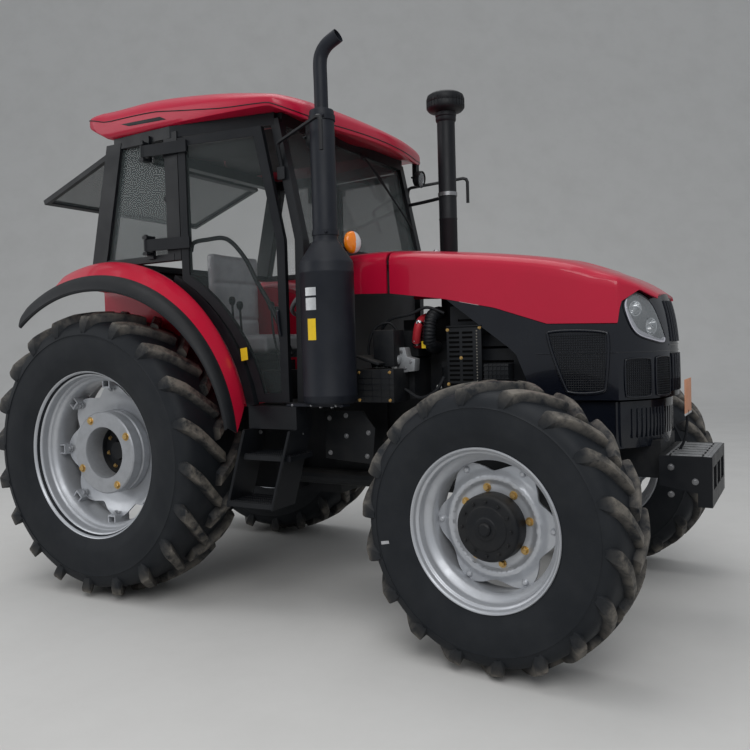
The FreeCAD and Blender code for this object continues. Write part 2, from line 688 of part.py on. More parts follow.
pivot_bore = rod("pivot_bore", "x", (s.engine_front, middle, pivot_z), s.pivot_diameter,
                 s.support_front - s.engine_front, FLATS)
tray = cut("support_tray", support_outer, support_pocket, axle_room)
node("front_support", cut("front_support_body", fuse("front_support_cast", tray, *ears), pivot_bore))

weight_x = (s.weight_rear, s.weight_front)
weight_outer = box("weight_outer", weight_x, (-s.weight_half, s.weight_half), (s.weight_low, s.weight_high))
weight_inner = box("weight_inner", (s.weight_rear + s.weight_wall, s.weight_front - s.weight_wall),
                   (-s.weight_half + s.weight_wall, s.weight_half - s.weight_wall),
                   (s.weight_low - 10, s.weight_high - s.weight_wall))
weight_step = prism("weight_step", "y", [(s.weight_rear - 10, s.weight_low - 10),
                                         (s.weight_front - 60, s.weight_low - 10),
                                         (s.weight_front - 60, s.weight_low + 60),
                                         (s.weight_rear - 10, s.weight_low + 90)],
                    -s.weight_half - 10, s.weight_half + 10)
slots = []
for k in range(5):
    y = (k - 2) * 90
    slots.append(box("weight_slot_%d" % k, (s.weight_front - 150, s.weight_front - 60),
                     (middle + (y - 14), middle + (y + 14)), (s.weight_high - 40, s.weight_high + 10)))
for k, y in enumerate((-150, 0, 150)):
    slots.append(box("weight_window_%d" % k, (s.weight_front - 40, s.weight_front + 10),
                     (middle + (y - 55), middle + (y + 55)), (s.weight_low + 70, s.weight_high - 50)))
node("weight_bracket", cut("weight_bracket_body", weight_outer, weight_inner, weight_step, *slots))

# Engine as one heavy block with its rocker cover, side fittings and radiator

engine_x = (s.engine_rear, s.engine_front)
engine_block = box("engine_mass", engine_x, (-s.engine_half, s.engine_half), (s.engine_low, s.engine_high))
cover = box("rocker_cover", (s.engine_rear + 60, s.engine_front - 90), (-s.cover_half, s.cover_half),
            (s.engine_high, s.cover_high))
node("engine_block", fuse("engine_body", engine_block, cover))

right = -s.engine_half
pump = box("pump_box", (s.engine_rear + 90, s.engine_rear + 250), (right - 190, right), (s.engine_low + 410, s.engine_low + 610))
casting = box("grey_casting", (s.engine_rear + 95, s.engine_rear + 255), (right - 150, right),
              (s.engine_low + 620, s.engine_high + 60))
filter_can = rod("filter_can", "z", (s.engine_rear + 400, right - 62, s.engine_low + 300), middle + 110, middle + 260, FLATS)
filter_head = box("filter_head", (s.engine_rear + 355, s.engine_rear + 445), (right - 90, right),
                  (s.engine_low + 520, s.engine_low + 590))
starter = rod("starter", "x", (s.engine_rear + 20, right - 70, s.engine_low + 150), middle + 120, middle + 330, FLATS)
starter_foot = box("starter_foot", (s.engine_rear + 30, s.engine_rear + 120), (right - 60, right),
                   (s.engine_low + 100, s.engine_low + 200))
node("engine_fittings", pump, casting, fuse("oil_filter", filter_can, filter_head), fuse("starter_motor", starter, starter_foot))

radiator = box("radiator_core", (s.radiator_rear, s.radiator_front), (-s.radiator_half, s.radiator_half),
               (s.support_high, s.radiator_high))
guards = [radiator]
guard_low = s.support_high + 220
for number, side in enumerate((-1, 1)):
    plate_y = (s.radiator_half + 40) * side
    near, far = (plate_y - s.guard_wall / 2, plate_y + s.guard_wall / 2)
    plate = box("fan_guard_%d" % number, (s.radiator_rear - s.guard_long, s.radiator_front), (near, far),
                (guard_low, s.radiator_high))
    louvres = []
    for row in range(5):
        slot_z = guard_low + (s.radiator_high - guard_low) * (0.18 + 0.16 * row)
        louvres.append(box("louvre_%d_%d" % (number, row), (s.radiator_rear - s.guard_long + 40, s.radiator_rear - 60),
                           (near - 1, far + 1), (slot_z, slot_z + s.guard_slot)))
    guards.append(cut("slotted_guard_%d" % number, plate, *louvres))
    guards.append(box("guard_bracket_%d" % number, (s.radiator_rear, s.radiator_front),
                      (far - s.guard_wall, s.radiator_half * side) if side < 0 else (s.radiator_half * side, near),
                      (guard_low, guard_low + 40)))
node("radiator", *guards)

# Clutch and gear housings, rear axle housing with trumpets, drive shaft

clutch = box("clutch_case", (s.clutch_rear, s.engine_rear), (-s.clutch_half, s.clutch_half),
             (s.clutch_low, s.clutch_high))
gears = box("gear_case", (s.gear_rear, s.clutch_rear), (-s.gear_half, s.gear_half), (s.gear_low, s.gear_high))
transfer = box("transfer_case", (s.transfer_rear, s.transfer_front), (s.shaft_y - s.transfer_half, -s.gear_half),
               (s.transfer_low, s.transfer_high))
node("gear_housing", fuse("gear_body", clutch, gears, transfer))


def rear_axle_shape():
    bull = Part.makeBox(n.gear_rear - n.bull_rear, 2 * n.bull_half, n.bull_high - n.bull_low,
                        Vector(n.bull_rear, -n.bull_half, n.bull_low))
    parts = [bull]
    for side in (-1, 1):
        out = Vector(0, side, 0)
        long = n.trumpet_end - n.bull_half + 20
        cone = bar((0, side * (n.bull_half - 20), rear_z), out * long, n.trumpet_inner_diameter / 2,
                   far_radius=n.trumpet_outer_diameter / 2)
        flange = bar((0, side * (n.trumpet_end - n.trumpet_flange), rear_z), out * n.trumpet_flange,
                     n.trumpet_flange_diameter / 2)
        face = n.rear_half_track + n.rear_rim_width / 2 - n.rear_disc_inset
        reach = face - n.rear_ring_depth + 24
        spindle = Part.makeCylinder(n.rear_spindle_diameter / 2, reach, Vector(0, 0, rear_z), out)
        pin = Part.makeCylinder(n.link_pin_diameter / 2, n.link_half_front + 40,
                                Vector(n.link_pivot_x, 0, n.link_pivot_z), out)
        mount = Part.makeBox(2 * n.cab_mount_half, 2 * n.cab_mount_half, n.cab_floor_z - n.floor_wall - rear_z,
                             Vector(-n.cab_mount_half, side * n.cab_mount_y - n.cab_mount_half, rear_z))
        parts += [cone, flange, spindle, pin, mount]
    pto = Part.makeCylinder(n.pto_diameter / 2, n.pto_length + 20, Vector(n.bull_rear + 20, 0, n.pto_z),
                            Vector(-1, 0, 0))
    parts.append(pto)
    fork = Part.makeBox(60, 90, 60, Vector(n.bull_rear - 60, -45, n.top_link_z - 30))
    fork = fork.cut(Part.makeBox(90, 44, 80, Vector(n.bull_rear - 90, -22, n.top_link_z - 40)))
    pin = Part.makeCylinder(n.top_pin_diameter / 2, 90, Vector(n.bull_rear - 34, -45, n.top_link_z), Vector(0, 1, 0))
    parts += [fork, pin]
    whole = bull.multiFuse(parts[1:])
    bore = flat_bore((n.lift_pivot_x, -n.bull_half - 5, n.lift_pivot_z), (0, 2 * n.bull_half + 10, 0),
                     n.lift_shaft_diameter / 2 + n.pin_play)
    return whole.cut(bore).removeSplitter()


node("rear_axle_housing", feature("rear_axle_body", rear_axle_shape()))

node("drive_shaft", rod("drive_shaft_tube", "x", (s.transfer_front, s.shaft_y, s.shaft_z), s.shaft_diameter,
                        s.wheelbase - s.pinion_reach - s.transfer_front, FLATS))


# Hitch

def link_shape():
    """Both lower links, each a flat bar from its housing pin to its ball eye."""
    angle = math.radians(n.link_rest)
    parts = []
    for side in (-1, 1):
        front = Vector(n.link_pivot_x, side * n.link_half_front, n.link_pivot_z)
        rear = Vector(n.link_pivot_x - n.link_length * math.cos(angle), side * n.link_half_rear,
                      n.link_pivot_z + n.link_length * math.sin(angle))
        bar_of_link = beam(front - Vector(20, 0, 0), rear + Vector(24, 0, 0), "x", n.link_thick * 0.8, n.link_high)
        long = Vector(0, 100, 0)
        eyes = [bar(spot - Vector(0, wide / 2, 0), (0, wide, 0), n.link_eye_diameter / 2)
                for spot, wide in ((front, n.link_thick), (rear, n.link_ball_wide))]
        front_eye = flat_bore(front - long / 2, long, n.link_pin_diameter / 2 + n.pin_play)
        ball_eye = Part.makeCylinder(n.link_ball_bore / 2, long.y, rear - long / 2, long)
        at = front + (rear - front) * (n.rod_at / n.link_length)
        pin = bar(at, (0, side * (n.rod_side + 24), 0), n.lift_pin_diameter / 2)
        parts.append(bar_of_link.multiFuse(eyes + [pin]).cut([front_eye, ball_eye]).removeSplitter())
    return Part.Compound(parts)


def lift_end():
    angle = math.radians(n.lift_rest)
    return Vector(n.lift_pivot_x - n.lift_arm * math.cos(angle), 0, n.lift_pivot_z + n.lift_arm * math.sin(angle))


def lift_arms_shape():
    pivot = Vector(n.lift_pivot_x, 0, n.lift_pivot_z)
    shaft = Part.makeCylinder(n.lift_shaft_diameter / 2, 2 * n.lift_half, pivot - Vector(0, n.lift_half, 0),
                              Vector(0, 1, 0))
    parts = []
    for side in (-1, 1):
        centre = Vector(0, side * (n.lift_half - 12), 0)
        parts.append(beam(pivot + centre, lift_end() + centre, "x", 24, 64))
        parts.append(bar(pivot + centre - Vector(0, 12, 0), (0, 24, 0), 48))
        parts.append(bar(lift_end() + centre - Vector(0, 12, 0), (0, 24, 0), 32))
        parts.append(Part.makeCylinder(n.lift_pin_diameter / 2, 52, lift_end() + centre, Vector(0, side, 0)))
    return shaft.multiFuse(parts).removeSplitter()


def lift_rods_shape():
    angle = math.radians(n.link_rest)
    low = Vector(n.link_pivot_x - n.rod_at * math.cos(angle), 0, n.link_pivot_z + n.rod_at * math.sin(angle))
    share = n.rod_at / n.link_length
    wide = Vector(0, 30, 0)
    parts = []
    for side in (-1, 1):
        y_low = n.link_half_front + (n.link_half_rear - n.link_half_front) * share + n.rod_side
        top = lift_end() + Vector(0, side * (n.lift_half + 22), 0)
        foot = low + Vector(0, side * y_low, 0)
        run = foot - top
        body = bar(top + run * (22 / run.Length), run * (1 - 44 / run.Length), n.lift_rod_diameter / 2)
        body = body.multiFuse([bar(top - wide / 2, wide, 28), bar(foot - wide / 2, wide, 34)])
        pin = n.lift_pin_diameter / 2
        parts.append(body.cut([flat_bore(top - wide, wide * 2, pin + n.pin_play),
                               flat_bore(foot - wide, wide * 2, pin + n.rod_eye_play)]).removeSplitter())
    return Part.Compound(parts)


def top_link_shape():
    front = Vector(n.bull_rear - 34, 0, n.top_link_z)
    angle = math.radians(n.top_link_rest)
    rear = front + Vector(-n.top_link_length * math.cos(angle), 0, n.top_link_length * math.sin(angle))
    run = rear - front
    wide = Vector(0, 38, 0)
    body = bar(front + run * 0.03, run * (1 - 30 / n.top_link_length), n.top_link_diameter / 2)
    body = body.multiFuse([bar(spot - wide / 2, wide, 26) for spot in (front, rear)])
    front_eye = flat_bore(front - wide, wide * 2, n.top_pin_diameter / 2 + n.pin_play)
    rear_eye = Part.makeCylinder(n.top_bore / 2, 2 * wide.y, rear - wide, wide)
    return body.cut([front_eye, rear_eye]).removeSplitter()


node("lower_links", feature("lower_links_body", link_shape()))
node("lift_arms", feature("lift_arms_body", lift_arms_shape()))
node("lift_rods", feature("lift_rods_body", lift_rods_shape()))
node("top_link", feature("top_link_body", top_link_shape()))

drawbar = box("drawbar_bar", (s.drawbar_rear, s.bull_rear + 200), (-s.drawbar_wide / 2, s.drawbar_wide / 2),
          (s.drawbar_z - s.drawbar_thick / 2, s.drawbar_z + s.drawbar_thick / 2))
hanger = box("drawbar_hanger", (s.bull_rear + 20, s.bull_rear + 110), (-s.drawbar_wide, s.drawbar_wide),
             (s.drawbar_z, s.bull_low))
pin_hole = rod("drawbar_bore_tool", "z", (s.drawbar_rear + 50, middle, s.drawbar_z - 50), s.drawbar_bore, middle + 100)
node("drawbar", cut("drawbar_body", fuse("drawbar_blank", drawbar, hanger), pin_hole))


# Hood: the whole outer form is built at a given inset, so that the wall stays even

def hood_ring(x, half, top, inset):
    """Half of a cross section from its foot to its crown, then the other half."""
    half, top = half - inset, top - inset
    wide, drop = n.shoulder_width, n.shoulder_drop
    side = [(half, n.nose_seam - 250), (half, top - drop), (half - 0.08 * wide, top - 0.66 * drop),
            (half - 0.3 * wide, top - 0.36 * drop), (half - wide, top - 0.1 * drop), (0, top)]
    return [Vector(x, -y, z) for y, z in side] + [Vector(x, y, z) for y, z in reversed(side[:-1])]


def hood_form(inset):
    """Skin over the cross sections, met by the nose's plan outline and its front profile."""
    rings = [hood_ring(x, half, top, inset) for x, half, top in (
        (n.cowl_rear, n.hood_half, n.hood_top - 2),
        (n.hood_seam, n.hood_half, n.hood_top),
        (n.hood_mid, n.hood_half, n.hood_mid_top),
        (n.hood_late, n.hood_half, n.hood_late_top),
        (n.hood_fore, n.hood_nose_half + 8, n.hood_fore_top),
        (n.nose_front + 10, n.hood_nose_half, n.hood_lip_top - 30),
    )]
    front = n.nose_front - inset
    corner = n.nose_corner - inset * 0.6
    side = n.hood_nose_half - inset
    radius = ((front - corner) ** 2 + side ** 2) / (2 * (front - corner))
    spread = math.degrees(math.asin(side / radius))
    nose = arc_points(front - radius, 0, radius, -spread, spread, 8)
    plan = [Vector(x, y, 0) for x, y in nose + [(n.cowl_rear, side + 60), (n.cowl_rear, -side - 60)]]
    deck = Part.Face(Part.makePolygon(plan + plan[:1])).extrude(Vector(0, 0, 2000))
    lip = n.hood_lip - inset
    top = n.hood_lip_top - inset
    profile = [(n.cowl_rear, 0), (front + 1, 0), (front + 1, 1160), (front - 5, 1300), (n.hood_lip + 30 - inset, 1425),
               (lip, top), (n.hood_fore + 116, n.hood_fore_top - 50 - inset),
               (n.hood_fore, n.hood_fore_top - inset), (n.hood_fore, 2000), (n.cowl_rear, 2000)]
    return skin(rings).common(deck).common(outline_block(profile))


def outline_block(points, depth=1200):
    """A block whose outline in side view is given as (x, z) corners."""
    ring = [Vector(x, -depth / 2, z) for x, z in points]
    return Part.Face(Part.makePolygon(ring + ring[:1])).extrude(Vector(0, depth, 0))


hood_outer = hood_form(0)
hood_inner = hood_form(n.hood_wall)
hood_shell = hood_outer.cut(hood_inner)
gap = n.hood_gap / 2
red_line = [(n.hood_seam, n.hood_edge_rear), (n.panel_rear_high, n.hood_edge_rear - 45),
            (n.hood_mid, n.hood_mid_edge), (n.hood_fore - 250, n.hood_fore_edge + 8),
            (n.hood_fore + 60, n.hood_fore_edge), (n.nose_corner + 10, n.hood_fore_edge + 90),
            (n.hood_lip - 60, n.hood_lip_top + 10), (n.nose_front + 20, n.hood_lip_top + 30)]
red_zone = outline_block([(n.hood_seam + gap, 2000), (n.hood_seam + gap, n.hood_edge_rear)] + red_line[1:]
                         + [(n.nose_front + 20, 2000)])
cowl_zone = outline_block([(n.cowl_rear, 2000), (n.cowl_rear, n.hood_edge_rear + 10),
                           (n.hood_seam - gap, n.hood_edge_rear), (n.hood_seam - gap, 2000)])
black_line = [(n.panel_rear_high, n.hood_edge_rear - 45), (n.panel_rear_high + 180, 1400),
              (n.panel_rear_high + 350, 1270), (n.panel_rear_low, 1110), (n.panel_rear_low + 10, n.nose_seam + 8),
              (n.nose_front + 20, n.nose_seam + 8)]
black_zone = outline_block(black_line + red_line[:1:-1])
skirt_zone = outline_block([(n.skirt_rear, n.nose_seam), (n.skirt_rear + 40, n.skirt_low),
                            (n.nose_front + 20, n.skirt_low), (n.nose_front + 20, n.nose_seam)])


def hood_hinge():
    """Hinge eyes in the seam: two on the cowl and one between them on the hood, on each side."""
    fixed, moving = [], []
    radius = n.hood_gap / 2 - 2.5
    low = n.hood_hinge_z - radius
    for side in (-1, 1):
        y = side * n.hood_hinge_half
        for offset, group, reach in ((-20, fixed, -16), (20, fixed, -16), (0, moving, 16)):
            spot = Vector(n.hood_seam, y + offset - 8, n.hood_hinge_z)
            group.append(bar(spot, (0, 16, 0), radius))
            group.append(Part.makeBox(abs(reach), 16, 2 * radius, Vector(n.hood_seam + min(0, reach), y + offset - 8, low)))
        fixed.append(Part.makeCylinder(n.hood_pin_diameter / 2, 56, Vector(n.hood_seam, y - 28, n.hood_hinge_z),
                                       Vector(0, 1, 0)))
        bore = flat_bore((n.hood_seam, y - 10, n.hood_hinge_z), (0, 20, 0), n.hood_pin_diameter / 2 + n.pin_play)
        moving[-2:] = [piece.cut(bore) for piece in moving[-2:]]
    return fixed, moving


hinge_fixed, hinge_moving = hood_hinge()
node("hood_shell", feature("hood_red", hood_shell.common(red_zone).multiFuse(hinge_moving).removeSplitter()))


def slots_through(count, low, high):
    """Upright slots between the fins of a grille, side by side across the front."""
    slots = []
    for k in range(count):
        y = (k - (count - 1) / 2) * n.fin_pitch
        slots.append(Part.makeBox(90, n.fin_slot, high - low, Vector(n.nose_front - 75, y - n.fin_slot / 2, low)))
    return slots


def side_recess():
    """The shallow field of the mesh window in each side of the nose piece."""
    field = [(n.hood_late - 60, n.hood_fore_edge - 32), (n.hood_fore + 25, n.hood_fore_edge - 36),
             (n.hood_fore + 8, n.nose_seam + 50), (n.hood_late + 28, n.nose_seam + 45)]
    face = n.hood_nose_half + 40
    ring = [Vector(x, -face, z) for x, z in field]
    return Part.Face(Part.makePolygon(ring + ring[:1])).extrude(Vector(0, 40 - 8 + n.panel_recess, 0))


grille = slots_through(6, n.grille_low, n.grille_high) + slots_through(8, n.intake_low, n.intake_high)
nose = hood_shell.common(black_zone).cut(grille + mirrored_pair([side_recess()]))
node("hood_nose", feature("hood_black", nose.removeSplitter()))
for side in (-1, 1):
    low_y = min(side * (n.hood_half - 60), side * (n.hood_half - 8))
    hinge_fixed.append(Part.makeBox(n.cowl_rear + 40 - n.firewall_x, 52, 50,
                                    Vector(n.firewall_x, low_y, n.hood_edge_rear + 12)))
node("rear_cowl", feature("cowl_red", hood_shell.common(cowl_zone).multiFuse(hinge_fixed).removeSplitter()))
skirt_form = hood_form(n.hood_half - n.skirt_half)
skirt_inner = hood_form(n.hood_half - n.skirt_half + n.skirt_wall)
support_room = Part.makeBox(n.support_front - n.engine_front, 2 * n.support_half, n.support_high - n.support_low,
                            Vector(n.engine_front, -n.support_half, n.support_low))
skirt_slots = slots_through(8, n.skirt_slot_low, n.skirt_slot_high)
for slot in skirt_slots:
    slot.translate(Vector(n.skirt_half - n.hood_half, 0, 0))
skirt = skirt_form.cut(skirt_inner).common(skirt_zone).cut([support_room] + skirt_slots)
node("front_skirt", feature("skirt_black", skirt.removeSplitter()))


# Cab frame: pillars and rails around the hollow cab

ARCH_CHORDS = 8
ARCH_HALF_CHORD = 5

def arch_band(inner, outer, low_y, high_y, start, end):
    """A band of a ring in side view, centred on the cab arch, between two angles."""
    near = arc_points(n.arch_x, n.arch_z, inner, start, end, ARCH_CHORDS)
    far = arc_points(n.arch_x, n.arch_z, outer, end, start, ARCH_CHORDS)
    ring = [Vector(x, low_y, z) for x, z in near + far]
    return Part.Face(Part.makePolygon(ring + ring[:1])).extrude(Vector(0, high_y - low_y, 0))


def door_hinge_pins():
    """Fixed halves of the door hinges, carried by the rails above and below the quarter window."""
    parts = []
    plate_y = -n.hinge_half + 26
    for level, rail in ((n.hinge_high_z, n.roof_rail_z), (n.hinge_low_z, n.c_pillar_foot_z - n.low_rail_high / 2)):
        low, high = sorted((level - 50 if rail > level else level + 50, rail))
        parts.append(Part.makeBox(44, 20, high - low, Vector(n.hinge_x - 22, plate_y, low)))
        parts.append(Part.makeCylinder(n.door_pin_diameter / 2, 100, Vector(n.hinge_x, -n.hinge_half, level - 50)))
        for edge in (-50, 34):
            parts.append(Part.makeBox(30, 40, 16, Vector(n.hinge_x - 15, -n.hinge_half - 12, level + edge)))
    return parts


def cab_frame_shape():
    rail_z = n.roof_rail_z
    low_rail = n.c_pillar_foot_z - n.low_rail_high / 2
    base = n.c_pillar_foot_z - n.low_rail_high
    a_top = (n.a_pillar_top_x, -n.a_pillar_half, rail_z)
    a_knee = (n.a_pillar_knee_x, -n.a_pillar_half, n.a_pillar_knee_z)
    a_foot = (n.a_pillar_foot_x, -n.a_pillar_half, n.sill_low)
    b_top = (n.b_pillar_x, -n.b_pillar_half, rail_z)
    b_foot = (n.b_pillar_x, -n.b_pillar_half, base)
    c_top = (n.c_pillar_top_x, -n.c_pillar_half, rail_z)
    c_foot = (n.c_pillar_foot_x, -n.c_pillar_half, base)
    wide, deep = n.a_pillar_wide, n.a_pillar_deep
    side = [
        beam(a_knee, a_top, "z", deep, wide),
        beam(a_foot, a_knee, "z", deep, wide),
        beam(b_foot, b_top, "z", n.b_pillar_deep, n.b_pillar_wide),
        beam(c_foot, c_top, "z", n.c_pillar_deep, n.c_pillar_wide),
        beam(c_top, b_top, "x", n.rail_wide, n.rail_high),
        beam(b_top, a_top, "x", n.rail_wide, n.rail_high),
        beam(c_foot[:2] + (low_rail,), b_foot[:2] + (low_rail,), "x", n.rail_wide, n.low_rail_high),
        arch_band(n.arch_radius, n.arch_radius + n.arch_wide, -n.b_pillar_half, -n.b_pillar_half + 40, 10, 62),
        beam((n.arch_x + n.arch_radius, -n.sill_half, n.cab_floor_z - 60),
             (n.a_pillar_foot_x + n.a_pillar_deep / 2, -n.sill_half, n.cab_floor_z - 60), "x", n.sill_wide, 112),
    ]
    across = [
        beam((n.c_pillar_top_x, -n.c_pillar_half, rail_z), (n.c_pillar_top_x, n.c_pillar_half, rail_z), "y", 60, n.rail_high),
        beam((n.a_pillar_top_x, -n.a_pillar_half, rail_z), (n.a_pillar_top_x, n.a_pillar_half, rail_z), "y", 60, n.rail_high),
        beam((n.c_pillar_foot_x, -n.c_pillar_half, low_rail), (n.c_pillar_foot_x, n.c_pillar_half, low_rail), "y",
             n.c_pillar_deep, n.low_rail_high),
        beam((n.a_pillar_knee_x, -n.a_pillar_half, n.a_pillar_knee_z - 40),
             (n.a_pillar_knee_x, n.a_pillar_half, n.a_pillar_knee_z - 40), "y", 50, 50),
    ]
    hinge_x, hinge_z = n.rear_hinge_x, n.rear_hinge_z
    for y in (-n.rear_hinge_half, n.rear_hinge_half):
        across.append(Part.makeBox(n.c_pillar_top_x - hinge_x, 18, 24, Vector(hinge_x - 12, y - 9, hinge_z - 12)))
        across.append(Part.makeCylinder(n.rear_pin_diameter / 2, 64, Vector(hinge_x, y - 32, hinge_z), Vector(0, 1, 0)))
    whole = mirrored_pair(side + door_hinge_pins()) + across
    return whole[0].multiFuse(whole[1:]).removeSplitter()


cab_frame = cab_frame_shape()
node("cab_frame", feature("cab_frame_body", cab_frame))


def cab_floor_shape():
    floor_low = n.cab_floor_z - n.floor_wall
    inner = n.fender_inner - n.fit_gap
    wide = n.sill_half - n.sill_wide / 2
    ring = [(n.cab_rear_x, -inner), (n.floor_step_x, -inner), (n.floor_step_x, -wide), (n.firewall_x, -wide)]
    ring += [(x, -y) for x, y in reversed(ring)]
    points = [Vector(x, y, floor_low) for x, y in ring]
    floor = Part.Face(Part.makePolygon(points + points[:1])).extrude(Vector(0, 0, n.floor_wall))
    fire_half = n.a_pillar_half - n.a_pillar_wide / 2 - 1
    fire = Part.makeBox(n.floor_wall, 2 * fire_half, n.a_pillar_knee_z - 65 - floor_low,
                        Vector(n.firewall_x - n.floor_wall, -fire_half, floor_low))
    rear = Part.makeBox(n.floor_wall, 2 * inner, n.c_pillar_foot_z - n.low_rail_high - floor_low,
                        Vector(n.cab_rear_x, -inner, floor_low))
    seat_box = Part.makeBox(620, 600, n.seat_platform_z - floor_low, Vector(n.cab_rear_x, -300, floor_low))
    tunnel = Part.makeBox(n.gear_rear - n.cab_rear_x + 20, 2 * n.bull_half + 30, n.bull_high + 12 - floor_low + 10,
                          Vector(n.cab_rear_x - 10, -n.bull_half - 15, floor_low - 10))
    return floor.multiFuse([fire, rear, seat_box]).cut(tunnel).cut(cab_frame).removeSplitter()


node("cab_floor", feature("cab_floor_body", cab_floor_shape()))


# Roof: side outline carried across, met by its plan outline, with bevelled edges

def roof_shape():
    half = n.roof_half
    under = n.roof_rail_z + n.rail_high / 2 + n.fit_gap
    side = [(n.roof_rear, under + 90), (n.roof_rear + 10, n.roof_high - 10), (n.roof_rear + 520, n.roof_high),
            (820, n.roof_high - 45), (n.roof_corner, n.roof_front_high + 10), (n.roof_front, n.roof_front_high - 10),
            (n.roof_front, n.roof_front_low), (n.roof_front - 60, n.roof_front_low), (n.a_pillar_top_x + 40, under),
            (n.roof_rear + 170, under)]
    form = outline_block(side, 2 * half + 40)
    back = n.roof_rear
    bow = n.roof_front - n.roof_corner
    corner = half - 80
    radius = (bow ** 2 + corner ** 2) / (2 * bow)
    spread = math.degrees(math.asin(corner / radius))
    front = arc_points(n.roof_front - radius, 0, radius, -spread, spread, 6)
    plan = [(back, -half + 60), (back + 25, -half + 18), (back + 80, -half), (700, -half)] + front
    plan += [(700, half), (back + 80, half), (back + 25, half - 18), (back, half - 60)]
    ring = [Vector(x, y, 0) for x, y in plan]
    deck = Part.Face(Part.makePolygon(ring + ring[:1])).extrude(Vector(0, 0, 3000))
    roof = form.common(deck)
    slope = n.roof_bevel
    for side_sign in (-1, 1):
        wedge_points = [Vector(back - 50, side_sign * (half + 1), n.roof_high - 70),
                        Vector(back - 50, side_sign * (half + 1), n.roof_high + 60),
                        Vector(back - 50, side_sign * (half - 2.2 * slope), n.roof_high + 60),
                        Vector(back - 50, side_sign * (half - 1.6 * slope), n.roof_high + 1)]
        wedge = Part.Face(Part.makePolygon(wedge_points + wedge_points[:1])).extrude(Vector(2000, 0, 0))
        roof = roof.cut(wedge)
    hollow = Part.makeBox(1010, 2 * (half - 130), 60, Vector(60, -(half - 130), under))
    return roof.cut(hollow).removeSplitter()


cab_roof = roof_shape()
node("cab_roof", feature("cab_roof_body", cab_roof))


# Glass: panes cut to the frame's openings

def pane(corners, thickness, inward):
    """A flat pane through its corner points, as thick as the given wall."""
    points = [Vector(*corner) for corner in corners]
    return Part.Face(Part.makePolygon(points + points[:1])).extrude(Vector(*inward).normalize() * thickness)


def glass_shape():
    gap = n.glass_gap
    half = n.a_pillar_half - n.a_pillar_wide / 2 - gap
    high = n.roof_rail_z - n.rail_high / 2 - gap
    low = n.a_pillar_knee_z - 40 + 25 + gap
    lean = (n.a_pillar_knee_x - n.a_pillar_top_x) / (n.roof_rail_z - n.a_pillar_knee_z)
    top = high - lean * n.glass_wall
    x_low = n.a_pillar_knee_x + lean * (n.a_pillar_knee_z - low)
    x_high = n.a_pillar_top_x + lean * (n.roof_rail_z - top)
    screen = pane([(x_low, -half, low), (x_low, half, low), (x_high, half, top), (x_high, -half, top)],
                  n.glass_wall, (1, 0, lean))
    q_low = n.c_pillar_foot_z + gap
    base = n.c_pillar_foot_z - n.low_rail_high
    c_lean = (n.c_pillar_top_x - n.c_pillar_foot_x) / (n.roof_rail_z - base)
    c_front = n.c_pillar_foot_x + n.c_pillar_deep / 2 + gap
    b_rear = n.b_pillar_x - n.b_pillar_deep / 2 - gap
    y = -(n.b_pillar_half + n.c_pillar_half) / 2
    quarter = pane([(c_front + c_lean * (q_low - base), y, q_low), (b_rear, y, q_low), (b_rear, y, high),
                    (c_front + c_lean * (high - base), y, high)], n.glass_wall, (0, 1, 0))
    return Part.Compound([screen, quarter, flipped(quarter)])


node("cab_glass", feature("cab_glass_body", glass_shape()))


# Doors, drawn flat in their own plane with the hinge line at x = 0

def door_outline(inset):
    """The door's edge at a given inset: straight but for its arc along the fender."""
    rear = n.door_rear_x - n.hinge_x + inset
    front_low = n.door_front_x - n.hinge_x - inset
    front_top = n.door_front_top_x - n.hinge_x - inset
    low = n.door_low + inset
    high = n.door_high - inset
    radius = (n.arch_radius + n.arch_wide + n.door_gap + inset) / math.cos(math.radians(ARCH_HALF_CHORD))
    cx = n.arch_x - n.hinge_x
    start = math.degrees(math.asin((low - n.arch_z) / radius))
    end = math.degrees(math.acos((rear - cx) / radius))
    arc = arc_points(cx, n.arch_z, radius, start, end, ARCH_CHORDS)
    ring = [(front_low, low), (front_low, n.a_pillar_knee_z), (front_top, high), (rear, high)] + arc[::-1]
    corners = [Vector(x, 0, z) for x, z in ring]
    return Part.Face(Part.makePolygon(corners + corners[:1]))


def door_placed(shape):
    """The right-hand door's place: hinge line at the rear, its front edge nearer the middle."""
    angle = math.degrees(math.atan2(n.door_slant, n.door_front_x - n.hinge_x))
    return moved(shape, (n.hinge_x, -n.hinge_half, 0), FreeCAD.Rotation(Vector(0, 0, 1), angle))


def door_frame_shape():
    wall = n.door_wall
    slab = door_outline(0).extrude(Vector(0, wall, 0))
    slab = slab.cut(door_outline(n.door_frame).extrude(Vector(0, wall, 0)))
    slab.translate(Vector(0, n.door_set_in, 0))
    parts = [slab]
    rear = n.door_rear_x - n.hinge_x
    for level in (n.hinge_high_z, n.hinge_low_z):
        arm = Part.makeBox(rear + 60, 14, 60, Vector(0, -7, level - 30))
        lug = Part.makeBox(50, n.door_set_in + 4, 60, Vector(rear + 5, 0, level - 30))
        eye = bar((0, 0, level - 30), (0, 0, 60), n.door_hinge_diameter / 2)
        hole = flat_bore((0, 0, level - 40), (0, 0, 80), n.door_pin_diameter / 2 + n.pin_play)
        parts.append(arm.multiFuse([lug, eye]).cut(hole))
    return parts[0].multiFuse(parts[1:]).removeSplitter()


def door_glass_shape():
    glass = door_outline(n.door_frame + n.glass_gap).extrude(Vector(0, n.glass_wall, 0))
    glass.translate(Vector(0, n.door_set_in + (n.door_wall - n.glass_wall) / 2, 0))
    return glass


door_frame = door_frame_shape()
door_glass = door_glass_shape()
for side, word in ((-1, "right"), (1, "left")):
    for label, piece in (("door_frame", door_frame), ("door_glass", door_glass)):
        placed = door_placed(piece)
        placed = placed if side < 0 else flipped(placed)
        node("%s_%s" % (label, word), feature("%s_%s" % (label, word), placed))


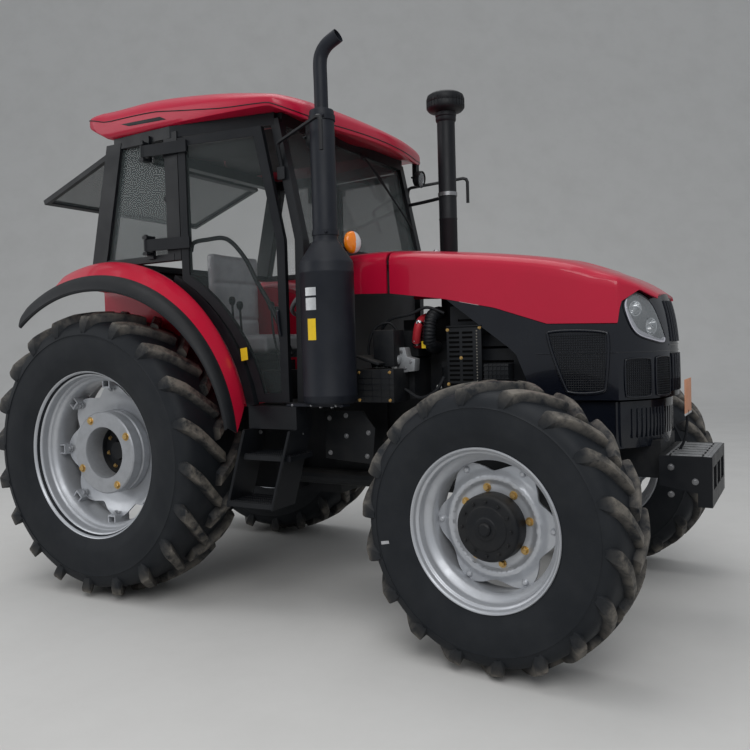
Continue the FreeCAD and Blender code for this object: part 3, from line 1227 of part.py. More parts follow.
# Rear window: hinged at the top, drawn as it stands open

def rear_window_parts():
    half = n.rear_pane_half
    tube_size = n.rear_pane_tube
    high = n.rear_pane_high
    frame = Part.makeBox(tube_size, 2 * half, high, Vector(-tube_size / 2, -half, -high))
    frame = frame.cut(Part.makeBox(tube_size, 2 * (half - tube_size), high - 2 * tube_size,
                                   Vector(-tube_size / 2, -half + tube_size, -high + tube_size)))
    gap = n.glass_gap
    glass = Part.makeBox(n.glass_wall, 2 * (half - tube_size - gap), high - 2 * (tube_size + gap),
                         Vector(-n.glass_wall / 2, -half + tube_size + gap, -high + tube_size + gap))
    placed = []
    for shape in (frame, glass):
        shape.translate(Vector(0, 0, -n.rear_window_drop))
    for y in (-n.rear_hinge_half + 9.5, n.rear_hinge_half - 9.5 - 20):
        tab = Part.makeBox(16, 20, n.rear_window_drop + 10, Vector(-8, y, -n.rear_window_drop - 10))
        eye = bar((0, y, 0), (0, 20, 0), 14)
        hole = flat_bore((0, y - 5, 0), (0, 30, 0), n.rear_pin_diameter / 2 + n.pin_play)
        frame = frame.fuse([tab, eye]).cut(hole)
    for shape in (frame, glass):
        turn = FreeCAD.Rotation(Vector(0, 1, 0), n.rear_window_rest)
        placed.append(moved(shape, (n.rear_hinge_x, 0, n.rear_hinge_z), turn))
    return placed


rear_frame, rear_glass = rear_window_parts()
node("rear_window_frame", feature("rear_window_frame_body", rear_frame))
node("rear_window_glass", feature("rear_window_glass_body", rear_glass))


# Fenders: cross sections from the cab side outwards, each an arc in side view

FENDER_STATIONS = (
    # distance from the middle, arc centre x and z, radius, front and rear angle, turn inwards at the front
    ("fender_inner", 8, 860, 880, 12, 110, 0),
    ("fender_shoulder", 20, 875, 893, 11, 110, 0),
    ("fender_crease", 26, 900, 915, 8, 109, 1),
    ("fender_outer", 95, 858, 872, 4, 108, 4.4),
    ("flare_outer", 130, 828, 835, 8, 128, 4.4),
)
FENDER_CHORDS = 10


def arc_ring(y, cx, cz, radius, start, end, turn, wall):
    """A fender's section: a band along an arc, in an upright plane turned about the arc's centre."""
    lean = math.tan(math.radians(turn))
    band = arc_points(0, cz, radius, start, end, FENDER_CHORDS)
    band += arc_points(0, cz, radius - wall, end, start, FENDER_CHORDS)
    return [Vector(cx + x, -y + lean * x, z) for x, z in band]


def fender_shape():
    rings = [arc_ring(getattr(n, name), *rest, n.fender_wall) for name, *rest in FENDER_STATIONS[:4]]
    name, cx, cz, radius, start, end, turn = FENDER_STATIONS[0]
    arc = arc_points(cx, cz, radius, start, end, FENDER_CHORDS)
    floor_z = n.cab_floor_z - n.floor_wall
    outline = arc + [(arc[-1][0], floor_z), (arc[0][0], floor_z)]
    ring = [Vector(x, -n.fender_inner - n.fender_wall, z) for x, z in outline]
    panel = Part.Face(Part.makePolygon(ring + ring[:1])).extrude(Vector(0, n.fender_wall, 0))
    return skin(rings).fuse(panel).removeSplitter()


def flare_shape():
    name, *outer = FENDER_STATIONS[4]
    name, cx, cz, radius, start, end, turn = FENDER_STATIONS[3]
    return skin([arc_ring(n.fender_outer + n.fit_gap, cx, cz, radius, start, 124, turn, n.flare_wall),
                 arc_ring(n.flare_outer, *outer, n.flare_wall)])


fender = fender_shape()
flare = flare_shape()
for side, word in ((-1, "right"), (1, "left")):
    node("fender_" + word, feature("fender_" + word, fender if side < 0 else flipped(fender)))
node("fender_flares", feature("fender_flares_body", Part.Compound([flare, flipped(flare)])))


# Steps, hung from the sill on slanting side plates

def step_shape():
    wall = n.step_wall
    y_out = -n.step_half
    y_in = y_out + n.step_wide
    parts = []
    for x_low, x_high, z, shift in ((n.step_lower_rear, n.step_lower_front, n.step_lower_z, -60),
                                    (n.step_upper_rear, n.step_upper_front, n.step_upper_z, 0)):
        parts.append(Part.makeBox(x_high - x_low, n.step_wide, 24, Vector(x_low, y_out + shift, z - 24)))
    for low_x, high_x in ((n.step_lower_rear, n.step_upper_rear), (n.step_lower_front - wall, n.step_upper_front - wall)):
        parts.append(skin([
            [Vector(low_x, y_out - 60, n.step_lower_z - 30), Vector(low_x + wall, y_out - 60, n.step_lower_z - 30),
             Vector(low_x + wall, y_in - 60, n.step_lower_z - 30), Vector(low_x, y_in - 60, n.step_lower_z - 30)],
            [Vector(high_x, y_out, n.sill_low), Vector(high_x + wall, y_out, n.sill_low),
             Vector(high_x + wall, y_in, n.sill_low), Vector(high_x, y_in, n.sill_low)]]))
    return parts[0].multiFuse(parts[1:]).removeSplitter()


step = step_shape()
node("steps", feature("steps_body", Part.Compound([step, flipped(step)])))


# Exhaust can with its tail pipe, and the intake stack with its cap

def exhaust_shape():
    centre = Vector(n.can_x, -n.can_y, 0)
    can = n.can_diameter / 2
    sleeve = n.sleeve_diameter / 2
    profile = [(can - 18, n.can_low), (can, n.can_low + 18), (can, n.can_high),
               (sleeve, n.can_cone_high), (sleeve, n.sleeve_high), (n.tail_diameter / 2, n.sleeve_high + 40)]
    body = stack(centre, profile, 20)
    bend = n.tail_bend
    tip = centre + Vector(bend * 1.5, 0, n.tail_high + bend * 0.95)
    corner = centre + Vector(0, 0, n.tail_high + bend * 0.35)
    tail = tube([centre + Vector(0, 0, n.sleeve_high + 20), corner, tip], n.tail_diameter / 2, bend)
    bore = tube([centre + Vector(0, 0, n.sleeve_high + 60), corner, tip + (tip - corner) * 0.2],
                n.tail_diameter / 2 - 5, bend)
    sill_top = n.cab_floor_z - 4
    bracket = Part.makeBox(n.can_x + 108 - n.door_front_x - 7, 65, n.can_low - sill_top,
                           Vector(n.door_front_x + 7, -n.sill_half - 55, sill_top))
    return body.multiFuse([tail, bracket]).cut(bore).removeSplitter()


node("exhaust", feature("exhaust_body", exhaust_shape()))


def intake_shape():
    centre = Vector(n.stack_x, n.stack_y, 0)
    pipe = n.stack_diameter / 2
    cap = n.cap_diameter / 2
    profile = [(pipe, n.stack_low), (pipe, n.stack_high - 30), (pipe + 9, n.stack_high - 30),
               (pipe + 9, n.stack_high), (0.9 * cap, n.stack_high + 12), (cap, n.stack_high + 30),
               (cap, n.cap_high - 36), (0.9 * cap, n.cap_high - 12), (0.5 * cap, n.cap_high)]
    body = stack(centre, profile, 16)
    elbow = tube([centre + Vector(0, 0, n.stack_low + 30), centre + Vector(0, 0, n.stack_low - 110),
                  Vector(n.stack_x, n.cover_half + 0.2, n.stack_low - 110)], pipe - 1, 70)
    stay = tube([(n.a_pillar_knee_x - 60, n.a_pillar_half, n.stay_z), (n.stack_x - 60, n.stack_y + 60, n.stay_z),
                 (n.stack_x, n.stack_y + pipe - 3, n.stay_z)], n.stay_diameter / 2, 40)
    return body.multiFuse([elbow, stay.cut(cab_frame)]).removeSplitter()


node("intake_stack", feature("intake_body", intake_shape()))


# Seat, console and steering wheel

seat_y = (-s.seat_wide / 2, s.seat_wide / 2)
seat_front = s.seat_x + s.seat_long / 2
seat_rear = s.seat_x - s.seat_long / 2
pedestal = box("seat_pedestal", (seat_rear + 90, seat_front - 90), (-s.seat_wide / 4, s.seat_wide / 4),
               (s.seat_platform_z, s.seat_z - s.seat_thick - 30))
pan = box("seat_pan", (seat_rear, seat_front), seat_y, (s.seat_z - s.seat_thick - 30, s.seat_z - s.seat_thick))
spine = box("seat_spine", (seat_rear - 30, seat_rear), (-s.seat_wide / 4, s.seat_wide / 4),
            (s.seat_z - s.seat_thick - 30, s.seat_z + 200))
node("seat_base", fuse("seat_base_body", pedestal, pan, spine))
cushion = box("seat_cushion_block", (seat_rear + 90, seat_front), seat_y,
              (s.seat_z - s.seat_thick + s.fit_gap, s.seat_z))
node("seat_cushion", cushion)
back = box("seat_back_block", (seat_rear + s.fit_gap, seat_rear + 85), seat_y,
           (s.seat_z - s.seat_thick + 20, s.seat_z + s.back_high))
node("seat_back", back)


def console_shape():
    half = n.console_wide / 2
    low = n.cab_floor_z
    side = [(n.console_x, low), (n.firewall_x - n.floor_wall, low), (n.firewall_x - n.floor_wall, n.a_pillar_knee_z - 80),
            (n.console_x - 20, n.a_pillar_knee_z - 40), (n.console_x - 60, n.a_pillar_knee_z - 90),
            (n.console_x - 20, n.console_high)]
    block = outline_block(side, 2 * half)
    tilt = math.radians(n.wheel_tilt)
    axis = Vector(-math.sin(tilt), 0, math.cos(tilt))
    hub = Vector(n.wheel_x, 0, n.wheel_z)
    column = bar(hub - axis * 300, axis * 300, 26)
    outer = n.wheel_diameter / 2
    grip = n.wheel_rim / 2
    section = [(outer - grip + grip * math.cos(k * math.pi / 3), grip * math.sin(k * math.pi / 3)) for k in range(6)]
    rim = moved(flat_ring(section, 20), hub, FreeCAD.Rotation(Vector(0, 1, 0), axis))
    boss = bar(hub - axis * 18, axis * 36, 48)
    spokes = []
    for k in range(3):
        spoke = Part.makeBox(outer - n.wheel_rim / 2, 34, 14, Vector(0, -17, -7))
        spoke.rotate(Vector(), Vector(0, 0, 1), 60 + 120 * k)
        spoke.rotate(Vector(), Vector(0, 1, 0), -n.wheel_tilt)
        spoke.translate(hub)
        spokes.append(spoke)
    return block.multiFuse([column, rim, boss] + spokes).removeSplitter()


node("dash_console", feature("dash_console_body", console_shape()))


# Lamps and mirror arms

def lamp_shapes():
    parts = []
    radius = n.turn_lamp_diameter / 2
    lamp = bar((n.turn_lamp_x - 30, -n.turn_lamp_y, n.turn_lamp_z), (60, 0, 0), radius)
    stalk = bar((n.a_pillar_knee_x, -n.turn_lamp_y, n.turn_lamp_z - 22), (n.turn_lamp_x - n.a_pillar_knee_x, 0, 0),
                10, 6)
    work = bar((n.roof_corner + 10, -n.work_lamp_y, n.work_lamp_z), (56, 0, -8), n.work_lamp_diameter / 2)
    foot = Part.makeBox(22, 22, 140, Vector(n.roof_corner + 20, -n.work_lamp_y - 11, n.work_lamp_z - 10))
    parts += [lamp.fuse(stalk.cut(cab_frame)), work.fuse(foot.cut(cab_roof))]
    return Part.Compound(mirrored_pair(parts))


node("lamps", feature("lamps_body", lamp_shapes()))


def mirror_arm_shape():
    x = n.a_pillar_knee_x - 60
    y = -n.a_pillar_half - n.a_pillar_wide / 2 + 4
    arm = tube([(x - 24, y, 2180), (x - 24, y - 40, 2320), (n.mirror_x, -n.mirror_y, 2370),
                (n.mirror_x, -n.mirror_y, 2210)], 10, 24, 6)
    foot = Part.makeBox(44, 30, 60, Vector(x - 46, y - 20, 2150))
    return arm.fuse(foot).cut(cab_frame)


mirror_arm = mirror_arm_shape()
node("mirror_arms", feature("mirror_arms_body", Part.Compound([mirror_arm, flipped(mirror_arm)])))


# Headlamps in the nose corners

def headlamp_shape():
    ring = [(n.nose_corner + 10, n.hood_fore_edge - 40), (n.nose_corner + 20, n.hood_fore_edge + 60),
            (n.nose_corner + 60, n.hood_lip_top - 10), (n.nose_corner + 120, n.hood_lip_top - 10),
            (n.nose_corner + 160, n.hood_fore_edge + 30), (n.nose_corner + 150, n.hood_fore_edge - 70)]
    zone = outline_block(ring)
    lens = hood_form(-6).cut(hood_form(-n.fit_gap)).common(zone)
    keep = Part.makeBox(1000, 250, 2000, Vector(n.nose_corner - 300, -n.hood_half - 20, 0))
    return Part.Compound(mirrored_pair([lens.common(keep)]))


node("headlamps", feature("headlamps_body", headlamp_shape()))


# Checks and export

doc.recompute()
problems = [item.Name for item in doc.Objects if "Invalid" in item.State or "Error" in item.State]
if problems:
    raise SystemExit("objects that failed: " + ", ".join(problems))
os.makedirs("parts", exist_ok=True)
for label, piece in nodes.items():
    shape = piece.Shape
    if shape.isNull() or not shape.isValid() or not shape.Solids:
        raise SystemExit("sub-part %s has no sound solid" % label)
    shape.exportStep("parts/%s.step" % label)
print("%d sub-parts written" % len(nodes))
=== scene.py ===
import math

import bmesh
import bpy
import numpy as np
from mathutils import Matrix, Vector


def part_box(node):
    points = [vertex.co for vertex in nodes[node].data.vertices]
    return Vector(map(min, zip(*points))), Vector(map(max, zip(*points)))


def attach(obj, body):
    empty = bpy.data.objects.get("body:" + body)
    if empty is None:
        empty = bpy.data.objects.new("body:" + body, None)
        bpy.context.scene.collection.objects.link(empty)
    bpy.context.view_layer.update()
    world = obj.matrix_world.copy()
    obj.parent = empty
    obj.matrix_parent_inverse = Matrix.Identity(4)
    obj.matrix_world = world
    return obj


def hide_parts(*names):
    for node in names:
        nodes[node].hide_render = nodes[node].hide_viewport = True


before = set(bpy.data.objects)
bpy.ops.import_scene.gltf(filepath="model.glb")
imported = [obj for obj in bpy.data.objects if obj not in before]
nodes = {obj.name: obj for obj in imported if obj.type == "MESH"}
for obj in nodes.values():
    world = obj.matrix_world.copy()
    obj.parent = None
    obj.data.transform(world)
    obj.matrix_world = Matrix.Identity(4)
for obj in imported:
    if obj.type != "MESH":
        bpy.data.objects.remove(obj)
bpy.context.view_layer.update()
scene = bpy.context.scene

# Places read from the frame, in metres
AX = float(sum(v.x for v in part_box("rim_rear_right")) / 2)
FX = AX + 2.3
REAR_R, FRONT_R = 0.775, 0.586
STEER = math.radians(-6)


# Surface helpers: every surface is (points, faces)

def grid(points, wrap_u=False, wrap_v=False, flip=False):
    """Quads over a (rows, columns, 3) array: row i meets row i + 1 and column j meets column j + 1."""
    rows, cols = points.shape[:2]
    i = np.arange(rows if wrap_u else rows - 1)
    j = np.arange(cols if wrap_v else cols - 1)
    i, j = np.meshgrid(i, j, indexing="ij")
    i2, j2 = (i + 1) % rows, (j + 1) % cols
    quads = np.stack([i * cols + j, i2 * cols + j, i2 * cols + j2, i * cols + j2], -1).reshape(-1, 4)
    return points.reshape(-1, 3), quads[:, ::-1] if flip else quads


def merge(parts):
    """One surface out of several, with the faces' numbers moved on by the points before them."""
    points, faces, start = [], [], 0
    for p, f in parts:
        points.append(p)
        faces += (np.asarray(f) + start).tolist() if not isinstance(f, list) else [[k + start for k in g] for g in f]
        start += len(p)
    return np.concatenate(points), faces


def placed(part, matrix=None, shift=(0, 0, 0)):
    """The surface turned by a matrix and shifted; a mirroring matrix also turns its faces round."""
    points, faces = part
    if matrix is None:
        return points + np.asarray(shift), faces
    m = np.asarray(matrix, float)
    points = points @ m.T + np.asarray(shift)
    if np.linalg.det(m) < 0:
        faces = [list(reversed(f)) for f in faces] if isinstance(faces, list) else faces[:, ::-1]
    return points, faces


def curve(points, count):
    """A smooth line through the points: Catmull-Rom, evenly in the parameter."""
    p = np.asarray(points, float)
    p = np.vstack([2 * p[0] - p[1], p, 2 * p[-1] - p[-2]])
    t = np.linspace(0, len(p) - 3 - 1e-9, count)
    k = t.astype(int)
    t = (t - k)[:, None]
    a, b, c, d = p[k], p[k + 1], p[k + 2], p[k + 3]
    return 0.5 * (2 * b + (c - a) * t + (2 * a - 5 * b + 4 * c - d) * t ** 2 + (3 * b - a - 3 * c + d) * t ** 3)


def spin(profile, steps, closed=True):
    """Turn a (radius, along) profile about the Y axis: x = r cos a, z = r sin a."""
    profile = np.asarray(profile, float)
    a = np.linspace(0, 2 * np.pi, steps, endpoint=False)[:, None]
    r, y = profile[None, :, 0], profile[None, :, 1]
    points = np.stack([r * np.cos(a), y + 0 * a, r * np.sin(a)], -1)
    return grid(points, wrap_u=True, wrap_v=closed, flip=False)


def tube(path, radius, sides=10, caps=True):
    """A round bar along a path: each ring lies across the path's own direction."""
    path = np.asarray(path, float)
    d = np.gradient(path, axis=0)
    d /= np.linalg.norm(d, axis=1)[:, None]
    up = np.array([0.0, 0.0, 1.0]) if abs(d[:, 2]).max() < 0.9 else np.array([0.31, 0.95, 0.05])
    e1 = np.cross(d, up)
    e1 /= np.linalg.norm(e1, axis=1)[:, None]
    e2 = np.cross(d, e1)
    a = np.linspace(0, 2 * np.pi, sides, endpoint=False)
    r = np.broadcast_to(np.asarray(radius, float), (len(path),))[:, None, None]
    ring = path[:, None] + r * (np.cos(a)[None, :, None] * e1[:, None] + np.sin(a)[None, :, None] * e2[:, None])
    points, faces = grid(ring, wrap_v=True, flip=True)
    faces = faces.tolist()
    if caps:
        last = (len(path) - 1) * sides
        faces += [list(range(sides))[::1], [last + k for k in range(sides)][::-1]]
    return points, faces


def block(low, high):
    """A plain block between two corners, for a piece that is bevelled when it is made."""
    (x0, y0, z0), (x1, y1, z1) = low, high
    points = np.array([(x0, y0, z0), (x1, y0, z0), (x1, y1, z0), (x0, y1, z0),
                       (x0, y0, z1), (x1, y0, z1), (x1, y1, z1), (x0, y1, z1)], float)
    return points, [[0, 3, 2, 1], [4, 5, 6, 7], [0, 1, 5, 4], [1, 2, 6, 5], [2, 3, 7, 6], [3, 0, 4, 7]]


def slab(outline, low, high, axis="y"):
    """An outline of (first, second) corners carried along an axis from low to high."""
    o = np.asarray(outline, float)
    n = len(o)
    put = {"x": lambda v: np.column_stack([np.full(n, v), o]),
           "y": lambda v: np.column_stack([o[:, 0], np.full(n, v), o[:, 1]]),
           "z": lambda v: np.column_stack([o, np.full(n, v)])}[axis]
    points = np.vstack([put(low), put(high)])
    k = np.arange(n)
    sides = np.stack([k, (k + 1) % n, (k + 1) % n + n, k + n], -1).tolist()
    return points, sides + [k[::-1].tolist(), (k + n).tolist()]


def bolt(place, axis, radius, height, washer=True):
    """A six-sided head on a round washer, along an axis."""
    axis = Vector(axis).normalized()
    turn = np.array(axis.to_track_quat("Y", "Z").to_matrix())
    a = np.arange(6) * np.pi / 3
    head = [(radius * np.cos(a), radius * np.sin(a))]
    rings = [(1.0, 0.0), (1.0, 0.85 * height), (0.86, height)]
    points = np.concatenate([np.stack([k * head[0][0], np.full(6, y), k * head[0][1]], -1) for k, y in rings])
    faces = grid(points.reshape(3, 6, 3), wrap_v=True)[1].tolist() + [[17, 16, 15, 14, 13, 12]]
    parts = [(points, faces)]
    if washer:
        parts.append(spin([(0, 0.14 * height), (1.35 * radius, 0.14 * height), (1.45 * radius, 0.0)], 16, closed=False))
    return placed(merge(parts), turn, place)


def piece(name, part, body, material, angle=32, bevel=0.0, slot=None, hides=(), values=None, weld=True):
    """A finished mesh object that rides on a body, with soft shading broken at sharp edges."""
    points, faces = part
    mesh = bpy.data.meshes.new(name)
    mesh.from_pydata(np.asarray(points, float).tolist(), [], [list(f) for f in faces])
    if values is not None:
        data = mesh.attributes.new("tip", "FLOAT", "POINT")
        data.data.foreach_set("value", np.asarray(values, np.float32))
    bm = bmesh.new()
    bm.from_mesh(mesh)
    if weld:
        bmesh.ops.remove_doubles(bm, verts=bm.verts, dist=2e-5)
    bmesh.ops.delete(bm, geom=[v for v in bm.verts if not v.link_faces], context="VERTS")
    bmesh.ops.recalc_face_normals(bm, faces=bm.faces)
    if bevel:
        edges = [e for e in bm.edges if len(e.link_faces) == 2 and e.calc_face_angle(0) > 0.5]
        bmesh.ops.bevel(bm, geom=edges, offset=bevel, offset_type="OFFSET", segments=2, profile=0.5,
                        affect="EDGES", clamp_overlap=True)
    bm.to_mesh(mesh)
    bm.free()
    mesh.shade_smooth()
    mesh.set_sharp_from_angle(angle=math.radians(angle))
    obj = bpy.data.objects.new(name, mesh)
    scene.collection.objects.link(obj)
    mesh.materials.append(material)
    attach(obj, body)
    if hides:
        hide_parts(*hides)
    return obj


# Materials: shared groups give colours, masks and normals, and the shaders stay in the materials

def group(name, inputs, outputs, build):
    tree = bpy.data.node_groups.new(name, "ShaderNodeTree")
    for label, kind, default in inputs:
        socket = tree.interface.new_socket(label, in_out="INPUT", socket_type=kind)
        socket.default_value = default
    for label, kind in outputs:
        tree.interface.new_socket(label, in_out="OUTPUT", socket_type=kind)
    build(tree, tree.nodes.new("NodeGroupInput"), tree.nodes.new("NodeGroupOutput"))
    return tree


def build_mottle(tree, source, sink):
    new, link = tree.nodes.new, tree.links.new
    place = new("ShaderNodeTexCoord")
    noise = new("ShaderNodeTexNoise")
    noise.inputs["Detail"].default_value = 6
    noise.inputs["Roughness"].default_value = 0.65
    link(place.outputs["Object"], noise.inputs["Vector"])
    link(source.outputs["Scale"], noise.inputs["Scale"])
    span = new("ShaderNodeMapRange")
    link(noise.outputs["Fac"], span.inputs["Value"])
    link(source.outputs["Low"], span.inputs["From Min"])
    link(source.outputs["High"], span.inputs["From Max"])
    mix = new("ShaderNodeMix")
    mix.data_type = "RGBA"
    link(span.outputs["Result"], mix.inputs["Factor"])
    link(source.outputs["Colour"], mix.inputs["A"])
    link(source.outputs["Second"], mix.inputs["B"])
    link(mix.outputs["Result"], sink.inputs["Colour"])
    link(span.outputs["Result"], sink.inputs["Mask"])


mottle = group("Mottle", [("Colour", "NodeSocketColor", (0.5, 0.5, 0.5, 1)), ("Second", "NodeSocketColor", (0.5, 0.5, 0.5, 1)),
                          ("Scale", "NodeSocketFloat", 4.0), ("Low", "NodeSocketFloat", 0.45), ("High", "NodeSocketFloat", 0.75)],
               [("Colour", "NodeSocketColor"), ("Mask", "NodeSocketFloat")], build_mottle)


def build_grain(tree, source, sink):
    new, link = tree.nodes.new, tree.links.new
    place = new("ShaderNodeTexCoord")
    noise = new("ShaderNodeTexNoise")
    noise.inputs["Detail"].default_value = 3
    link(place.outputs["Object"], noise.inputs["Vector"])
    link(source.outputs["Scale"], noise.inputs["Scale"])
    bump = new("ShaderNodeBump")
    bump.inputs["Distance"].default_value = 0.002
    link(source.outputs["Strength"], bump.inputs["Strength"])
    link(noise.outputs["Fac"], bump.inputs["Height"])
    link(bump.outputs["Normal"], sink.inputs["Normal"])


grain = group("Grain", [("Scale", "NodeSocketFloat", 300.0), ("Strength", "NodeSocketFloat", 0.1)],
              [("Normal", "NodeSocketVector")], build_grain)


def build_dust(tree, source, sink):
    """Mask of faces that look up, broken by noise, for the dust that lies on them."""
    new, link = tree.nodes.new, tree.links.new
    place = new("ShaderNodeTexCoord")
    form = new("ShaderNodeNewGeometry")
    split = new("ShaderNodeSeparateXYZ")
    link(form.outputs["Normal"], split.inputs["Vector"])
    noise = new("ShaderNodeTexNoise")
    noise.inputs["Scale"].default_value = 9
    noise.inputs["Detail"].default_value = 8
    link(place.outputs["Object"], noise.inputs["Vector"])
    up = new("ShaderNodeMapRange")
    up.inputs["From Min"].default_value = 0.2
    up.inputs["From Max"].default_value = 1.3
    link(split.outputs["Z"], up.inputs["Value"])
    times = new("ShaderNodeMath")
    times.operation = "MULTIPLY"
    link(up.outputs["Result"], times.inputs[0])
    link(noise.outputs["Fac"], times.inputs[1])
    amount = new("ShaderNodeMath")
    amount.operation = "MULTIPLY"
    link(times.outputs["Value"], amount.inputs[0])
    link(source.outputs["Amount"], amount.inputs[1])
    mix = new("ShaderNodeMix")
    mix.data_type = "RGBA"
    link(amount.outputs["Value"], mix.inputs["Factor"])
    link(source.outputs["Colour"], mix.inputs["A"])
    link(source.outputs["Dust"], mix.inputs["B"])
    link(mix.outputs["Result"], sink.inputs["Colour"])


dust = group("Dust", [("Colour", "NodeSocketColor", (0.5, 0.5, 0.5, 1)), ("Dust", "NodeSocketColor", (0.3, 0.27, 0.23, 1)),
                      ("Amount", "NodeSocketFloat", 0.4)], [("Colour", "NodeSocketColor")], build_dust)


def call(tree, which, **values):
    node = tree.nodes.new("ShaderNodeGroup")
    node.node_tree = which
    for key, value in values.items():
        node.inputs[key.capitalize()].default_value = value
    return node


def surface(name, colour, second=None, scale=4.0, rough=0.4, metal=0.0, coat=0.0, coat_rough=0.05, bump=0.0,
            bump_scale=300.0, dusty=0.0, specular=0.25, sheen=0.0, spread=(0.42, 0.78)):
    """A painted, moulded or cast surface: mottled colour, dust on what looks up, fine grain in the normal."""
    material = bpy.data.materials.new(name)
    material.use_nodes = True
    tree = material.node_tree
    shader = tree.nodes["Principled BSDF"]
    second = second or tuple(0.82 * c for c in colour)
    spots = call(tree, mottle, colour=(*colour, 1), second=(*second, 1), scale=scale, low=spread[0], high=spread[1])
    settle = call(tree, dust, amount=dusty)
    tree.links.new(spots.outputs["Colour"], settle.inputs["Colour"])
    tree.links.new(settle.outputs["Colour"], shader.inputs["Base Color"])
    span = tree.nodes.new("ShaderNodeMapRange")
    span.inputs["To Min"].default_value = rough * 0.9
    span.inputs["To Max"].default_value = min(1.0, rough * 1.25 + 0.03)
    tree.links.new(spots.outputs["Mask"], span.inputs["Value"])
    tree.links.new(span.outputs["Result"], shader.inputs["Roughness"])
    shader.inputs["Metallic"].default_value = metal
    shader.inputs["Coat Weight"].default_value = coat
    shader.inputs["Coat Roughness"].default_value = coat_rough
    shader.inputs["Specular IOR Level"].default_value = specular
    if sheen:
        shader.inputs["Sheen Weight"].default_value = sheen
    if bump:
        fine = call(tree, grain, scale=bump_scale, strength=bump)
        tree.links.new(fine.outputs["Normal"], shader.inputs["Normal"])
    return material


hood_red = surface("hood_red", (0.47, 0.004, 0.032), (0.42, 0.003, 0.027), 2.0, rough=0.34, coat=0.45, dusty=0.03)
fender_red = surface("fender_red", (0.53, 0.006, 0.034), (0.48, 0.004, 0.028), 2.0, rough=0.34, coat=0.45, dusty=0.04)
roof_red = surface("roof_red", (0.43, 0.004, 0.032), (0.38, 0.003, 0.028), 3.0, rough=0.38, coat=0.35, coat_rough=0.2,
                   dusty=0.05, bump=0.05, bump_scale=160)
gloss_black = surface("gloss_black", (0.004, 0.005, 0.009), (0.006, 0.008, 0.012), 5.0, rough=0.22, coat=0.4, dusty=0.03)
satin_black = surface("satin_black", (0.006, 0.007, 0.009), (0.011, 0.012, 0.014), 6.0, rough=0.42, dusty=0.08, bump=0.05)
plastic_black = surface("plastic_black", (0.006, 0.007, 0.009), (0.011, 0.012, 0.014), 7.0, rough=0.5, dusty=0.07,
                        bump=0.12, bump_scale=420)
cast_black = surface("cast_black", (0.007, 0.008, 0.010), (0.018, 0.018, 0.018), 9.0, rough=0.55, dusty=0.2, bump=0.3,
                     bump_scale=160)
heat_black = surface("heat_black", (0.008, 0.010, 0.015), (0.014, 0.016, 0.022), 7.0, rough=0.5, dusty=0.1, bump=0.08,
                     bump_scale=240)
bare_grey = surface("bare_grey", (0.3, 0.31, 0.32), (0.18, 0.18, 0.18), 12.0, rough=0.5, metal=0.5, bump=0.3,
                    bump_scale=140, dusty=0.2)
rim_silver = surface("rim_silver", (0.50, 0.515, 0.54), (0.42, 0.43, 0.45), 7.0, rough=0.4, metal=0.55, dusty=0.08,
                     bump=0.05, bump_scale=180)
hub_silver = surface("hub_silver", (0.38, 0.39, 0.41), (0.3, 0.31, 0.32), 14.0, rough=0.45, metal=0.55, dusty=0.1,
                     bump=0.22, bump_scale=110)
zinc = surface("zinc", (0.55, 0.38, 0.14), (0.42, 0.24, 0.1), 60.0, rough=0.38, metal=0.8)
steel = surface("steel", (0.32, 0.32, 0.33), (0.22, 0.22, 0.22), 20.0, rough=0.35, metal=0.9, bump=0.1)
lining = surface("lining", (0.045, 0.045, 0.048), (0.06, 0.06, 0.062), 6.0, rough=0.7, bump=0.2, bump_scale=220, dusty=0.1)
hose_red = surface("hose_red", (0.4, 0.02, 0.03), (0.3, 0.015, 0.02), 20.0, rough=0.5)
plate_silver = surface("plate_silver", (0.55, 0.56, 0.57), (0.45, 0.46, 0.46), 30.0, rough=0.35, metal=0.6)
plate_yellow = surface("plate_yellow", (0.75, 0.5, 0.02), (0.62, 0.42, 0.02), 30.0, rough=0.4)
tag_orange = surface("tag_orange", (0.6, 0.28, 0.16), (0.5, 0.24, 0.15), 18.0, rough=0.6)


def tyre_rubber():
    """Black rubber, browner and paler with dust where the tip value is high, with fine grain."""
    material = bpy.data.materials.new("tyre_rubber")
    material.use_nodes = True
    tree = material.node_tree
    shader = tree.nodes["Principled BSDF"]
    base = call(tree, mottle, colour=(0.006, 0.008, 0.011, 1), second=(0.014, 0.016, 0.019, 1), scale=5.0, low=0.4, high=0.75)
    patch = call(tree, mottle, colour=(0, 0, 0, 1), second=(1, 1, 1, 1), scale=16.0, low=0.36, high=0.6)
    tip = tree.nodes.new("ShaderNodeAttribute")
    tip.attribute_name = "tip"
    times = tree.nodes.new("ShaderNodeMath")
    times.operation = "MULTIPLY"
    tree.links.new(tip.outputs["Fac"], times.inputs[0])
    tree.links.new(patch.outputs["Mask"], times.inputs[1])
    mix = tree.nodes.new("ShaderNodeMix")
    mix.data_type = "RGBA"
    mix.inputs["B"].default_value = (0.15, 0.135, 0.115, 1)
    tree.links.new(times.outputs["Value"], mix.inputs["Factor"])
    tree.links.new(base.outputs["Colour"], mix.inputs["A"])
    tree.links.new(mix.outputs["Result"], shader.inputs["Base Color"])
    shader.inputs["Roughness"].default_value = 0.62
    shader.inputs["Specular IOR Level"].default_value = 0.28
    fine = call(tree, grain, scale=170.0, strength=0.18)
    tree.links.new(fine.outputs["Normal"], shader.inputs["Normal"])
    return material


rubber = tyre_rubber()


